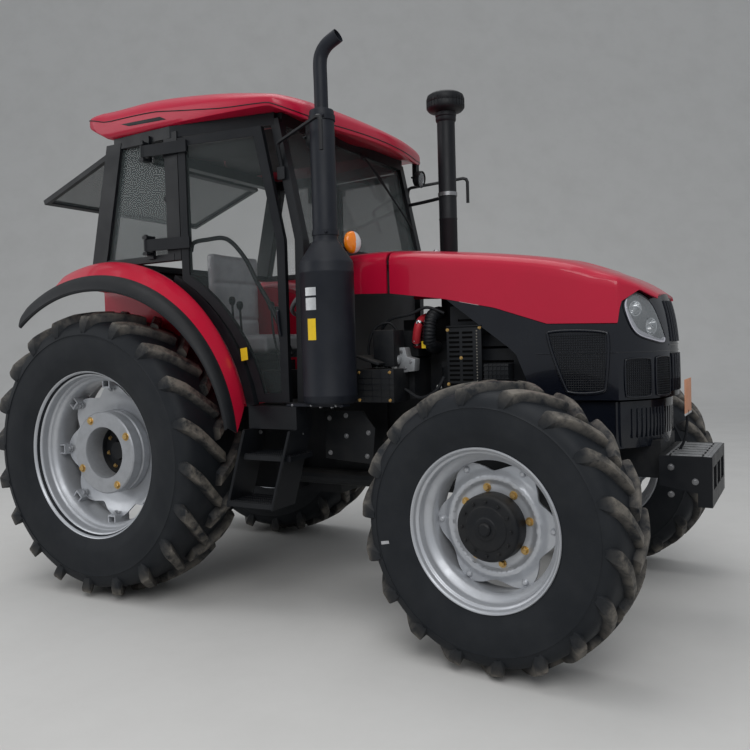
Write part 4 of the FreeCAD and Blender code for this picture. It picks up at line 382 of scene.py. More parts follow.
def clear_glass(name, colour, alpha):
    """A pane that shows what is behind it and reflects more where it is seen at a slant."""
    material = bpy.data.materials.new(name)
    material.use_nodes = True
    tree = material.node_tree
    shader = tree.nodes["Principled BSDF"]
    shader.inputs["Base Color"].default_value = (*colour, 1)
    shader.inputs["Roughness"].default_value = 0.03
    shader.inputs["IOR"].default_value = 1.5
    lean = tree.nodes.new("ShaderNodeFresnel")
    lean.inputs["IOR"].default_value = 1.5
    span = tree.nodes.new("ShaderNodeMapRange")
    span.inputs["From Max"].default_value = 0.6
    span.inputs["To Min"].default_value = alpha
    span.inputs["To Max"].default_value = 0.75
    tree.links.new(lean.outputs["Fac"], span.inputs["Value"])
    tree.links.new(span.outputs["Result"], shader.inputs["Alpha"])
    return material


glass = clear_glass("cab_glass", (0.10, 0.12, 0.12), 0.07)
lens = clear_glass("lens", (0.5, 0.53, 0.55), 0.28)
amber = surface("amber", (0.9, 0.24, 0.004), (0.8, 0.17, 0.004), 30.0, rough=0.15, coat=0.8)
turn_clear = surface("turn_clear", (0.6, 0.6, 0.62), (0.5, 0.5, 0.52), 30.0, rough=0.12, coat=0.8)
film = surface("film", (0.5, 0.51, 0.53), (0.36, 0.37, 0.39), 9.0, rough=0.3, coat=0.7, coat_rough=0.1, bump=0.6, bump_scale=26)
chrome = surface("chrome", (0.7, 0.71, 0.72), (0.6, 0.61, 0.62), 10.0, rough=0.12, metal=1.0)

PAINTS = {
    "hood_shell": hood_red, "rear_cowl": hood_red, "hood_nose": gloss_black, "front_skirt": gloss_black,
    "fender_right": fender_red, "fender_left": fender_red, "fender_flares": plastic_black, "cab_roof": roof_red,
    "cab_frame": satin_black, "door_frame_right": satin_black, "door_frame_left": satin_black,
    "rear_window_frame": satin_black, "cab_glass": glass, "door_glass_right": glass, "door_glass_left": glass,
    "rear_window_glass": glass, "cab_floor": lining, "dash_console": plastic_black, "seat_base": satin_black,
    "seat_cushion": film, "seat_back": film, "front_support": cast_black, "weight_bracket": satin_black,
    "engine_block": cast_black, "engine_fittings": cast_black, "radiator": satin_black, "gear_housing": cast_black,
    "rear_axle_housing": cast_black, "drive_shaft": cast_black, "drawbar": cast_black, "front_axle": cast_black,
    "knuckle_right": cast_black, "knuckle_left": cast_black, "tie_rod": cast_black, "steps": satin_black,
    "exhaust": heat_black, "intake_stack": plastic_black, "lamps": plastic_black, "mirror_arms": satin_black,
    "headlamps": lens, "lower_links": cast_black, "lift_arms": cast_black, "lift_rods": cast_black, "top_link": cast_black,
}
for label, obj in nodes.items():
    obj.data.materials.clear()
    obj.data.materials.append(PAINTS.get(label, rubber if label.startswith("tyre") else rim_silver))


# Wheels, built with the outer side at +y and set in place for each corner

def wheel_place(end, side):
    """The turn and shift that put a wheel drawn about the origin on its axle."""
    mirror = np.diag([1.0, side, 1.0])
    if end == "rear":
        return mirror, (AX, side * 0.78, REAR_R)
    c, s = math.cos(STEER), math.sin(STEER)
    turn = np.array([[c, -s, 0], [s, c, 0], [0, 0, 1.0]])
    return turn @ mirror, np.array([FX, side * 0.69, FRONT_R]) + turn @ np.array([0, side * 0.205, 0])


def lug(outer, half, start, height, thick, reach, flats):
    """One tread bar: its top runs from past the middle out to the shoulder and falls away down the side wall.

    Each station across the tyre is a chamfered section whose corners are set along the rim's turn."""
    t = np.linspace(0, 1, flats)
    knots = [0.0, 0.25, 0.5, 0.7, 0.74, 0.88, 1.0]
    top_r = np.interp(t, knots, np.array([1.0, 1.0, 0.992, 0.966, 0.955, 0.905, 0.853]) * outer)
    top_y = np.interp(t, knots, np.array([-0.06, 0.3, 0.66, 0.955, 0.985, 1.012, 0.99]) * half)
    low_r = np.interp(t, knots, np.array([0.94, 0.938, 0.925, 0.89, 0.885, 0.865, 0.85]) * outer)
    low_y = np.interp(t, knots, np.array([-0.06, 0.3, 0.64, 0.86, 0.88, 0.94, 0.97]) * half)
    lead = start + reach * np.interp(t, knots, [0.0, 0.34, 0.72, 1.0, 1.02, 1.06, 1.1])
    wide = thick * np.interp(t, knots, [0.92, 0.95, 1.05, 1.2, 1.22, 0.95, 0.5]) / outer
    foot = wide + np.interp(t, knots, [0.03, 0.036, 0.036, 0.034, 0.03, 0.02, 0.01])
    drop = 0.004 / outer
    rings = []
    for radius, y, angle in ((low_r, low_y, lead - foot / 2), (top_r - 0.006, top_y, lead - wide / 2),
                             (top_r, top_y, lead - wide / 2 + drop * 1.6), (top_r, top_y, lead + wide / 2 - drop * 1.6),
                             (top_r - 0.006, top_y, lead + wide / 2), (low_r, low_y, lead + foot / 2)):
        rings.append(np.stack([radius * np.cos(angle), y, radius * np.sin(angle)], -1))
    points = np.stack(rings, 1)
    surf, faces = grid(points)
    faces = faces.tolist() + [[0, 1, 2, 3, 4, 5]]
    tips = np.tile([0.0, 0.75, 1.0, 1.0, 0.75, 0.0], flats) * np.repeat(np.interp(t, [0, 0.72, 0.8, 1], [1, 1, 0.25, 0]), 6)
    return surf, faces, tips


def tyre(end):
    """Carcass turned from its section, with its bars set round it, alternately on either side."""
    outer, half, bead, count, height, thick, reach = {
        "rear": (REAR_R, 0.215, 0.452, 20, 0.038, 0.058, 0.255),
        "front": (FRONT_R, 0.1575, 0.326, 18, 0.03, 0.052, 0.285)}[end]
    crown = outer - height * 1.12
    side = [(bead - 0.018, 0.70), (bead - 0.008, 0.80), (bead + 0.004, 0.86), (bead + 0.02, 0.89), (bead + 0.045, 0.935),
            (0.68 * outer, 0.975), (0.76 * outer, 1.0), (0.826 * outer, 0.995), (0.832 * outer, 1.012), (0.838 * outer, 0.992),
            (0.87 * outer, 0.955), (0.9 * outer, 0.89), (0.925 * outer, 0.76), (crown - 0.003, 0.5), (crown, 0.2), (crown, 0)]
    line = curve([(r, y * half) for r, y in side], 46)
    line = np.vstack([line, line[-2::-1] * [1, -1]])
    carcass = spin(line[::-1], 200, closed=False)
    parts, tips = [carcass], [np.zeros(len(carcass[0]))]
    pitch = 2 * np.pi / count
    for sign in (1, -1):
        for k in range(count):
            start = k * pitch + (0.5 * pitch if sign < 0 else 0)
            points, faces, tip = lug(outer, half, start, height, thick, reach, 15)
            if sign < 0:
                points = points * [1, -1, 1]
                faces = [f[::-1] for f in faces]
            parts.append((points, faces))
            tips.append(tip)
    return merge(parts), np.concatenate(tips)


def around(part, count, start=0.0):
    """Copies of a surface turned about the Y axis, evenly."""
    parts = []
    for k in range(count):
        a = start + 2 * math.pi * k / count
        c, s = math.cos(a), math.sin(a)
        parts.append(placed(part, [[c, 0, -s], [0, 1, 0], [s, 0, c]]))
    return merge(parts)


def lobed_disc(inner, low, high, profile, thick, lobes, sharp=1.0):
    """A dished disc whose outer edge swings between two radii; profile gives y at each share of the way out."""
    a = np.linspace(0, 2 * np.pi, 192, endpoint=False)
    swing = (0.5 + 0.5 * np.cos(lobes * a)) ** sharp
    edge = low + (high - low) * swing
    share = np.linspace(0, 1, 16)
    r = inner + (edge[:, None] - inner) * share[None]
    y = np.interp(r, [p[0] for p in profile], [p[1] for p in profile])
    front = np.stack([r * np.cos(a)[:, None], y, r * np.sin(a)[:, None]], -1)
    back = front[:, ::-1] - [0, thick, 0]
    return grid(np.concatenate([front, back], 1), wrap_u=True, wrap_v=True)


def rear_rim():
    """Silver parts, hub ring, bolts and the dark middle of a rear wheel."""
    inside = curve([(0.450, 0.181), (0.443, 0.172), (0.438, 0.155), (0.427, 0.147), (0.425, 0.125), (0.424, 0.108),
                    (0.417, 0.098), (0.411, 0.085), (0.398, 0.07), (0.391, 0.045), (0.391, 0)], 34)
    outside = np.array([(0.397, 0), (0.397, 0.05), (0.404, 0.076), (0.43, 0.11), (0.434, 0.15), (0.449, 0.168), (0.459, 0.174),
                        (0.46, 0.179), (0.456, 0.183)])
    half = np.vstack([inside, outside])
    ring = np.vstack([inside[:-1], (inside[::-1] * [1, -1]), (outside[::-1] * [1, -1])[:-1], outside])
    well = spin(ring[::-1], 160)
    disc = lobed_disc(0.205, 0.318, 0.372, [(0.2, -0.04), (0.24, -0.036), (0.3, -0.02), (0.34, 0.0), (0.38, 0.006)], 0.01, 8, 0.7)
    bracket = merge([slab([(0.352, -0.028), (0.397, -0.028), (0.397, -0.02), (0.362, -0.02), (0.362, 0.02), (0.397, 0.02),
                           (0.397, 0.028), (0.352, 0.028)], -0.052, 0.05, "y")])
    brackets = around(bracket, 8)
    bolts = around(merge([bolt((0.374, 0.0, 0.0), (0, 1, 0), 0.013, 0.022), bolt((0.35, 0.012, 0.0), (0, 1, 0), 0.014, 0.016)]), 8)
    section = [(0.138, -0.03), (0.138, 0.078), (0.142, 0.085), (0.219, 0.085), (0.2255, 0.079), (0.2255, 0.028), (0.221, 0.024),
               (0.221, 0.016), (0.2285, 0.01), (0.2285, -0.03), (0.222, -0.038)]
    hub = spin(section[::-1], 120)
    studs = around(merge([bolt((0.196, 0.085, 0), (0, 1, 0), 0.016, 0.012)]), 4, 0.5)
    deep = spin([(0.145, -0.03), (0.132, -0.03), (0.128, -0.052), (0.1, -0.055), (0.098, -0.045), (0.062, -0.045),
                 (0.06, -0.075), (0.0, -0.075)][::-1], 72, closed=False)
    small = around(bolt((0.112, -0.054, 0), (0, 1, 0), 0.0095, 0.012), 8, 0.2)
    return merge([well, disc, brackets]), merge([hub]), merge([studs, small]), merge([bolts]), merge([deep])


def front_rim():
    """Silver parts, yellow bolts, rivets and the black hub of a front wheel."""
    inside = curve([(0.323, 0.141), (0.317, 0.133), (0.313, 0.12), (0.303, 0.113), (0.300, 0.097), (0.299, 0.085),
                    (0.291, 0.074), (0.281, 0.064), (0.27, 0.05), (0.266, 0.03), (0.266, 0)], 34)
    outside = np.array([(0.272, 0), (0.272, 0.034), (0.28, 0.055), (0.304, 0.085), (0.307, 0.11), (0.32, 0.126), (0.329, 0.131),
                        (0.33, 0.138), (0.327, 0.142)])
    ring = np.vstack([inside[:-1], (inside[::-1] * [1, -1]), (outside[::-1] * [1, -1])[:-1], outside])
    well = spin(ring[::-1], 160)
    disc = lobed_disc(0.13, 0.222, 0.27, [(0.13, 0.02), (0.168, 0.02), (0.178, 0.026), (0.187, 0.036), (0.203, 0.037),
                                          (0.215, 0.026), (0.232, 0.014), (0.275, 0.01)], 0.01, 6, 0.8)
    rivets = around(spin([(0, 0.012), (0.008, 0.011), (0.013, 0.006), (0.0145, 0)], 16, closed=False), 1)
    rivets = around(placed(rivets, np.eye(3), (0.249, 0.012, 0)), 6)
    bolts = around(bolt((0.155, 0.021, 0), (0, 1, 0), 0.0125, 0.014), 8, 0.2)
    section = curve([(0.0, 0.108), (0.04, 0.108), (0.05, 0.104), (0.085, 0.103), (0.092, 0.098), (0.118, 0.097), (0.13, 0.092),
                     (0.136, 0.08), (0.137, 0.05), (0.137, 0.0)], 40)
    hub = spin(section, 96, closed=False)
    knobs = around(bolt((0.108, 0.0975, 0), (0, 1, 0), 0.0065, 0.008, washer=False), 12)
    boss = spin([(0, 0.122), (0.02, 0.121), (0.026, 0.115), (0.028, 0.106)], 32, closed=False)
    return merge([well, disc, rivets]), merge([bolts]), merge([hub, knobs, boss])


rubber_parts = {end: tyre(end) for end in ("rear", "front")}
rear_parts, front_parts = rear_rim(), front_rim()
for side, word in ((-1, "right"), (1, "left")):
    for end in ("rear", "front"):
        turn, shift = wheel_place(end, side)
        body = "wheel_%s_%s" % (end, word)
        surf, tips = rubber_parts[end]
        piece("tread_%s_%s" % (end, word), placed(surf, turn, shift), body, rubber, angle=38, slot="tyre",
              hides=["tyre_%s_%s" % (end, word)], values=tips, weld=False)
        if end == "rear":
            rim, hub, studs, bolts, deep = [placed(p, turn, shift) for p in rear_parts]
            piece("wheel_disc_rear_" + word, rim, body, rim_silver, slot="rim_silver", hides=["rim_rear_" + word])
            piece("hub_ring_" + word, hub, body, hub_silver, slot="rim_silver")
            piece("hub_studs_" + word, studs, body, zinc)
            piece("bracket_bolts_" + word, bolts, body, hub_silver)
            piece("hub_depth_" + word, deep, body, cast_black)
        else:
            rim, bolts, hub = [placed(p, turn, shift) for p in front_parts]
            piece("wheel_disc_front_" + word, rim, body, rim_silver, slot="rim_silver", hides=["rim_front_" + word])
            piece("wheel_bolts_" + word, bolts, body, zinc)
            piece("front_hub_" + word, hub, body, cast_black)


# Helpers for the bodywork: everything from here is drawn forwards from the rear axle

def fix(name, part, material, body="chassis", **more):
    """A piece drawn from the rear axle forwards, moved to its place in the frame."""
    return piece(name, placed(part, shift=(AX, 0, 0)), body, material, **more)


def both(part):
    """A surface and its mirror image across the middle."""
    return merge([part, placed(part, np.diag([1.0, -1.0, 1.0]))])


def shell(points, wall, keep=None):
    """A grid given a thickness along its own normals and closed along every free edge."""
    total = points.shape[0] * points.shape[1]
    normal = np.cross(np.gradient(points, axis=0), np.gradient(points, axis=1))
    normal /= np.maximum(np.linalg.norm(normal, axis=2, keepdims=True), 1e-9)
    outer, quads = grid(points)
    if keep is not None:
        quads = quads[keep.reshape(-1)]
    sides = np.concatenate([quads[:, [k, (k + 1) % 4]] for k in range(4)])
    free = sides[~np.isin(sides[:, 0] * total + sides[:, 1], sides[:, 1] * total + sides[:, 0])]
    edge = np.stack([free[:, 1], free[:, 0], free[:, 0] + total, free[:, 1] + total], -1)
    inner = (points - wall * normal).reshape(-1, 3)
    return np.concatenate([outer, inner]), np.concatenate([quads, quads[:, ::-1] + total, edge]).tolist()


def loop(points, count):
    """A closed smooth line through the points."""
    p = np.asarray(points, float)
    t = np.linspace(0, len(p), count, endpoint=False)
    k = t.astype(int)
    t = (t - k)[:, None]
    a, b, c, d = (p[(k + step) % len(p)] for step in (-1, 0, 1, 2))
    return 0.5 * (2 * b + (c - a) * t + (2 * a - 5 * b + 4 * c - d) * t ** 2 + (3 * b - a - 3 * c + d) * t ** 3)


def along(knots, values, at):
    """A table read off smoothly: a Catmull-Rom line through its rows."""
    line = curve(np.column_stack([knots, values]), 40 * len(knots))
    return np.interp(at, np.maximum.accumulate(line[:, 0]), line[:, 1])


def upright(profile, x, y, steps=48, closed=False):
    """A (radius, height) profile turned about an upright axis at x, y."""
    return placed(spin(profile, steps, closed=closed), [[1, 0, 0], [0, 0, 1], [0, 1, 0]], (x, y, 0))


def ringed(path, radius, sides=10, wall=None):
    """A closed bead along a closed path, or with a wall an open pipe along an open one."""
    path = np.asarray(path, float)
    a = np.linspace(0, 2 * np.pi, sides, endpoint=False)
    d = np.gradient(path, axis=0) if wall else np.roll(path, -1, 0) - np.roll(path, 1, 0)
    d /= np.linalg.norm(d, axis=1)[:, None]
    mean = np.linalg.svd(path - path.mean(0))[2][2]
    e1 = np.cross(d, mean)
    e1 /= np.linalg.norm(e1, axis=1)[:, None]
    e2 = np.cross(d, e1)
    spokes = np.cos(a)[None, :, None] * e1[:, None] + np.sin(a)[None, :, None] * e2[:, None]
    rings = path[:, None] + radius * spokes
    if wall:
        rings = np.concatenate([rings, (path[:, None] + (radius - wall) * spokes)[::-1]])
    return grid(rings, wrap_u=True, wrap_v=True)


# Hood: the ridge line, the shoulders and the plan of the nose give one outer skin

NOSE_TIP, NOSE_CORNER, NOSE_HALF = 2.849, 2.660, 0.385
NOSE_R = ((NOSE_TIP - NOSE_CORNER) ** 2 + NOSE_HALF ** 2) / (2 * (NOSE_TIP - NOSE_CORNER))
NOSE_SPREAD = math.asin(NOSE_HALF / NOSE_R)
PATH_END = NOSE_CORNER + NOSE_R * NOSE_SPREAD
FALL = curve([(0, 0.062), (0.0096, 0.0409), (0.036, 0.0223), (0.12, 0.0062), (0.26, 0.001), (0.42, 0)], 60)
FLANK = ([1.3, 2.41, 2.66], [0.400, 0.400, NOSE_HALF])


def hood_half(x):
    """Half the hood's width: straight sides, then the arc of the nose in plan."""
    arc = np.clip(NOSE_R ** 2 - (x - (NOSE_TIP - NOSE_R)) ** 2, 0, None) ** 0.5
    return np.where(x > NOSE_CORNER, np.minimum(np.interp(x, *FLANK), arc), np.interp(x, *FLANK))


def hood_height(x, y):
    """Height of the top: the ridge line less a shoulder that falls away towards the side."""
    ridge = along([1.3, 1.47, 1.69, 2.1, 2.41, 2.6, 2.7, 2.8, 2.86],
                  [1.806, 1.808, 1.794, 1.749, 1.697, 1.632, 1.586, 1.523, 1.49], x)
    fall = np.interp(hood_half(x) - np.abs(y), FALL[:, 0], FALL[:, 1])
    return ridge - fall * np.interp(x, [2.55, 2.74], [1.0, 0.35])


def red_line(x):
    return np.interp(x, [1.545, 1.85, 2.1, 2.35, 2.66, 2.672, 2.74, 2.8], [1.579, 1.535, 1.482, 1.398, 1.39, 1.481, 1.534, 1.54])


def hood_skin(x, low):
    """Each station runs up the side from the lower line and over the shoulder to the ridge, then down again."""
    half = hood_half(x)
    eave = hood_height(x, half)
    low = np.minimum(low, eave - 0.006)
    wall = low[:, None] + (eave - low)[:, None] * np.linspace(0, 1, 7)
    y = half[:, None] * (1 - np.array([0.004, 0.012, 0.025, 0.045, 0.07, 0.1, 0.15, 0.22, 0.32, 0.45, 0.6, 0.8, 1.0]))
    z = np.concatenate([wall, hood_height(x[:, None] + 0 * y, y)], 1)
    y = np.concatenate([half[:, None] + 0 * wall, y], 1)
    right = np.stack([x[:, None] + 0 * y, -y, z], -1)
    return np.concatenate([right, right[:, -2::-1] * [1, -1, 1]], 1)


hood_x = np.concatenate([np.linspace(1.554, 2.55, 46), np.linspace(2.565, 2.659, 9), np.linspace(2.661, 2.80, 20)])
fix("hood_skin", shell(hood_skin(hood_x, red_line(hood_x)), 0.012), hood_red, "hood", angle=40, slot="hood_red",
    hides=["hood_shell"])
cowl_x = np.linspace(1.30, 1.536, 12)
cowl = shell(hood_skin(cowl_x, np.interp(cowl_x, [1.3, 1.536], [1.588, 1.579])), 0.012)
hinge_eyes = []
for eye_y in (-0.18, 0.18):
    hinge_eyes.append(tube([(1.545, eye_y - 0.028, 1.797), (1.545, eye_y + 0.028, 1.797)], 0.004, 12))
    for off in (-0.02, 0.02):
        hinge_eyes.append(tube([(1.545, eye_y + off - 0.008, 1.797), (1.545, eye_y + off + 0.008, 1.797)], 0.0065, 14))
        hinge_eyes.append(block((1.529, eye_y + off - 0.008, 1.7905), (1.545, eye_y + off + 0.008, 1.8035)))
fix("cowl_skin", merge([cowl] + hinge_eyes), hood_red, angle=40, slot="hood_red", hides=["rear_cowl"])
strip_x = np.linspace(2.36, 2.60, 14)
strip_y = np.linspace(-0.2, 0.2, 24)
crest = np.interp(np.abs(strip_y), [0, 0.13, 0.17, 0.2], [0.004, 0.004, 0.0035, -0.003])
crest = crest * np.interp(strip_x, [2.36, 2.45, 2.56, 2.6], [0, 1, 1, 0])[:, None]
crest_points = np.stack([strip_x[:, None] + 0 * crest, strip_y[None] + 0 * crest,
                         hood_height(strip_x[:, None] + 0 * crest, strip_y[None] + 0 * crest) + crest], -1)
fix("hood_crest", grid(crest_points), hood_red, "hood", angle=50)


# Nose: a black panel that follows the flank and the bow, with its slots left open

def nose_point(p, z, out=0.0):
    """A place on the panel: along the flank, then round the bow, leaning back over its upper half."""
    p, z = np.broadcast_arrays(np.asarray(p, float), np.asarray(z, float))
    a = NOSE_SPREAD - np.clip(p - NOSE_CORNER, 0, None) / NOSE_R
    bow = p > NOSE_CORNER
    x = np.where(bow, NOSE_TIP - NOSE_R + NOSE_R * np.cos(a), p)
    y = np.where(bow, NOSE_R * np.sin(a), np.interp(p, *FLANK))
    share = np.clip((x - 2.6) / 0.249, 0, 1)
    lean = along([1.0, 1.16, 1.3, 1.425, 1.524, 1.6], [0, 0, -0.005, -0.021, -0.049, -0.08], z)
    x = x + share ** 2 * (3 - 2 * share) * lean
    return np.stack([x + out * np.where(bow, np.cos(a), 0), -(y + out * np.where(bow, np.sin(a), 1)), z], -1)


def bow_place(y):
    return PATH_END - NOSE_R * np.arcsin(np.asarray(y) / NOSE_R)


LAMP = loop([(2.705, 1.484), (2.775, 1.522), (2.868, 1.488), (2.916, 1.394), (2.940, 1.302), (2.834, 1.312), (2.750, 1.345),
             (2.707, 1.423)], 64)
LAMP_MIDDLE = np.array([2.82, 1.405])


def in_lamp(p, z, scale=1.0):
    """True inside the lamp's outline, which is read as a reach at each angle about its middle."""
    spoke = LAMP - LAMP_MIDDLE
    angle = np.arctan2(spoke[:, 1], spoke[:, 0])
    order = np.argsort(angle)
    reach = np.interp(np.arctan2(z - LAMP_MIDDLE[1], p - LAMP_MIDDLE[0]), angle[order],
                      np.linalg.norm(spoke, axis=1)[order], period=2 * np.pi)
    return np.hypot(p - LAMP_MIDDLE[0], z - LAMP_MIDDLE[1]) < scale * reach


edges = np.arange(8, 121, 16) / 1000
half_p = np.concatenate([np.linspace(NOSE_CORNER + 1e-6, bow_place(0.132), 34), bow_place(edges[::-1])])
bow_p = np.concatenate([half_p, 2 * PATH_END - half_p[::-1]])
levels = np.concatenate([[1.053, 1.064, 1.075], np.linspace(1.1, 1.25, 7), np.linspace(1.2625, 1.3, 4), np.linspace(1.31, 1.49, 19),
                         [1.5, 1.508, 1.516, 1.524, 1.532]])
bow_x = nose_point(bow_p, 1.1)[:, 0]
bow_top = np.interp(bow_x, [2.66, 2.672, 2.74, 2.80, 2.849], [1.47, 1.479, 1.528, 1.524, 1.521])
bow_z = np.minimum(levels[:, None], bow_top[None])
mid_p = 0.5 * (bow_p[1:] + bow_p[:-1])
mid_z = 0.5 * (levels[1:] + levels[:-1])
mid_y = NOSE_R * np.sin((PATH_END - mid_p) / NOSE_R)
slot_column = (((np.abs(mid_y) - 0.008) // 0.016) % 2 == 0) & (np.abs(mid_y) > 0.008)
upper = (mid_z > 1.3) & (mid_z < 1.49)
lower = (mid_z > 1.075) & (mid_z < 1.25)
open_quads = (upper[:, None] & (slot_column & (np.abs(mid_y) < 0.09))[None]) \
    | (lower[:, None] & (slot_column & (np.abs(mid_y) < 0.122))[None])
folded = np.minimum(mid_p, 2 * PATH_END - mid_p)
open_quads |= in_lamp(folded[None] + 0 * mid_z[:, None], mid_z[:, None] + 0 * folded[None], 0.95)
bow = shell(nose_point(bow_p[None] + 0 * bow_z, bow_z), -0.012, keep=~open_quads)

rows = np.linspace(0, 1, 15)
rear_p = np.interp(rows, [0, 0.12, 0.45, 0.72, 1], [2.275, 2.265, 2.2, 2.03, 1.86])
rear_z = np.interp(rows, [0, 0.12, 0.45, 0.72, 1], [1.053, 1.11, 1.27, 1.40, 1.531])
panel_s = np.linspace(0, 1, 44)
panel_p = rear_p[:, None] + panel_s[None] * (NOSE_CORNER - rear_p[:, None])
panel_top = red_line(panel_p) - 0.003
rear_share = (rear_z - 1.053) / (red_line(rear_p) - 0.003 - 1.053)
panel_z = 1.053 + ((1 - panel_s[None]) * rear_share[:, None] + panel_s[None] * rows[:, None]) * (panel_top - 1.053)
fix("nose_panels", merge([bow, both(shell(nose_point(panel_p, panel_z), -0.012))]), gloss_black, "hood", angle=40,
    slot="nose_black", hides=["hood_nose"])

skirt_levels = np.array([0.835, 0.86, 0.885, 0.925, 0.965, 1.005, 1.025, 1.043])
skirt_out = -0.030 - 0.012 * np.interp(skirt_levels, [0.835, 0.9], [1, 0])
skirt_p = np.concatenate([np.linspace(2.285, 2.66, 20), half_p[1:]])
skirt_p = np.concatenate([skirt_p, 2 * PATH_END - skirt_p[::-1]])
skirt_fold = np.minimum(skirt_p, 2 * PATH_END - skirt_p)
skirt_side = np.where(skirt_p > PATH_END, -1.0, 1.0)
skirt_points = nose_point(skirt_fold[None] + 0 * skirt_levels[:, None], skirt_levels[:, None] + 0 * skirt_fold[None],
                          skirt_out[:, None] + 0 * skirt_fold[None])
skirt_points[..., 1] *= skirt_side
skirt_mid = 0.5 * (skirt_p[1:] + skirt_p[:-1])
skirt_y = NOSE_R * np.sin((PATH_END - np.minimum(skirt_mid, 2 * PATH_END - skirt_mid)) / NOSE_R)
skirt_slot = (((np.abs(skirt_y) - 0.008) // 0.016) % 2 == 0) & (np.abs(skirt_y) > 0.008) & (np.abs(skirt_y) < 0.122)
skirt_rows = (skirt_levels[1:] + skirt_levels[:-1]) / 2
skirt_open = ((skirt_rows > 0.885) & (skirt_rows < 1.005))[:, None] & skirt_slot[None]
fix("skirt_panel", shell(skirt_points, -0.010, keep=~skirt_open), gloss_black, angle=40, slot="nose_black", hides=["front_skirt"])


def nose_lattice(p_low, p_high, z_low, z_high, pitch, out=0.002, radius=0.0016):
    """Fine wires both ways over a field of the panel."""
    parts = []
    for p in np.arange(p_low, p_high + 1e-6, pitch):
        parts.append(tube(nose_point(np.full(6, p), np.linspace(z_low, z_high, 6), out), radius, 4, caps=False))
    for z in np.arange(z_low, z_high + 1e-6, pitch):
        parts.append(tube(nose_point(np.linspace(p_low, p_high, 12), np.full(12, z), out), radius, 4, caps=False))
    return merge(parts)


def nose_frame(corners, radius, out=0.003):
    """A rounded bead round a field of the panel; the corners are (path, height)."""
    ring = np.asarray(corners, float)
    middle = ring.mean(0)
    ring = loop(np.concatenate([ring + 0.14 * (np.roll(ring, s, 0) - ring) for s in (1, -1)], 1).reshape(-1, 2), 72)
    return ringed(nose_point(ring[:, 0], ring[:, 1], out), radius, 8), middle


mesh_parts, bead_parts = [], []
for p_low, p_high, z_low, z_high in ((2.692, 2.83, 1.066, 1.232), (2.862, 2.972, 1.066, 1.236)):
    mesh_parts.append(nose_lattice(p_low, p_high, z_low, z_high, 0.0105))
    bead_parts.append(nose_frame([(p_low, z_low), (p_high, z_low), (p_high, z_high), (p_low, z_high)], 0.004)[0])
field = [(2.345, 1.362), (2.622, 1.353), (2.605, 1.09), (2.437, 1.085)]
bead_parts.append(nose_frame(field, 0.007)[0])
field_wires = []
for z in np.arange(1.098, 1.35, 0.0105):
    left = np.interp(z, [1.085, 1.362], [2.437, 2.345]) + 0.012
    field_wires.append(tube(nose_point(np.linspace(left, 2.606, 3), np.full(3, z), 0.002), 0.0016, 4, caps=False))
for p in np.arange(2.362, 2.604, 0.0105):
    foot = np.interp(p, [2.345, 2.437], [1.362, 1.095])
    field_wires.append(tube(nose_point(np.full(3, p), np.linspace(foot, 1.348, 3), 0.002), 0.0016, 4, caps=False))
fix("nose_mesh", both(merge(mesh_parts + field_wires)), satin_black, "hood", weld=False)
fix("nose_beads", both(merge(bead_parts)), gloss_black, "hood", angle=60)
ribs = []
for k in range(-3, 4):
    for z_low, z_high in ((1.302, 1.488), (1.078, 1.248)):
        place = nose_point(np.full(9, bow_place(abs(k) * 0.032)), np.linspace(z_low, z_high, 9), 0.001)
        place[:, 1] *= 1 if k <= 0 else -1
        ribs.append(tube(place, 0.0062, 10))
for z in (1.288, 1.262):
    for sign in (1, -1):
        place = nose_point(np.linspace(2.30 if z < 1.27 else 2.98, PATH_END, 40), np.full(40, z), 0.001)
        place[:, 1] *= sign
        ribs.append(tube(place, 0.0024, 6))
fix("nose_ribs", merge(ribs), gloss_black, "hood", angle=50)
front_ribs = []
for y in np.arange(0.136, 0.33, 0.024):
    line = nose_point(np.full(5, bow_place(y)), np.linspace(0.88, 1.01, 5), -0.029)
    front_ribs.append(tube(line, 0.005, 8))
fix("skirt_ribs", both(merge(front_ribs)), gloss_black, angle=50)


# Headlamps: a clear dome over two bright bowls, with a pale band along the rear and lower edge

def lamp_rings(scales, outs):
    ring = LAMP_MIDDLE + np.asarray(scales)[:, None, None] * (LAMP - LAMP_MIDDLE)[None]
    return nose_point(ring[..., 0], ring[..., 1], np.asarray(outs)[:, None] + 0 * ring[..., 0])


share = np.linspace(0.02, 1, 12)
dome = grid(lamp_rings(share, 0.001 + 0.011 * np.sqrt(1 - share ** 2)), wrap_v=True)
pan = grid(lamp_rings([1.03, 1.0, 0.96, 0.8, 0.5, 0.02], [0.0, -0.01, -0.04, -0.052, -0.056, -0.058]), wrap_v=True)
bowls = []
for spot, size in (((2.775, 1.452), 0.030), ((2.862, 1.372), 0.034)):
    middle = nose_point(*spot, -0.016)
    turn = np.array(Vector(nose_point(*spot, 0.0) - nose_point(*spot, -0.05)).to_track_quat("Y", "Z").to_matrix())
    bowl = [(0.0, -0.03), (0.3 * size, -0.029), (0.6 * size, -0.022), (0.86 * size, -0.008), (size, 0.008),
            (1.12 * size, 0.008), (1.16 * size, -0.004)]
    bulb = [(0.0, 0.0), (0.16 * size, -0.003), (0.24 * size, -0.012), (0.24 * size, -0.03)]
    bowls += [placed(spin(bowl, 40, closed=False), turn, middle), placed(spin(bulb, 20, closed=False), turn, middle)]
span = np.linspace(0.47, 1.03, 30)
band = loop([(2.705, 1.484), (2.775, 1.522), (2.868, 1.488), (2.916, 1.394), (2.940, 1.302), (2.834, 1.312), (2.750, 1.345),
             (2.707, 1.423)], 200)
band = band[(np.round(span * 200).astype(int)) % 200]
breadth = 0.30 * np.sin(np.pi * np.clip((span - 0.45) / 0.6, 0, 1)) ** 0.6
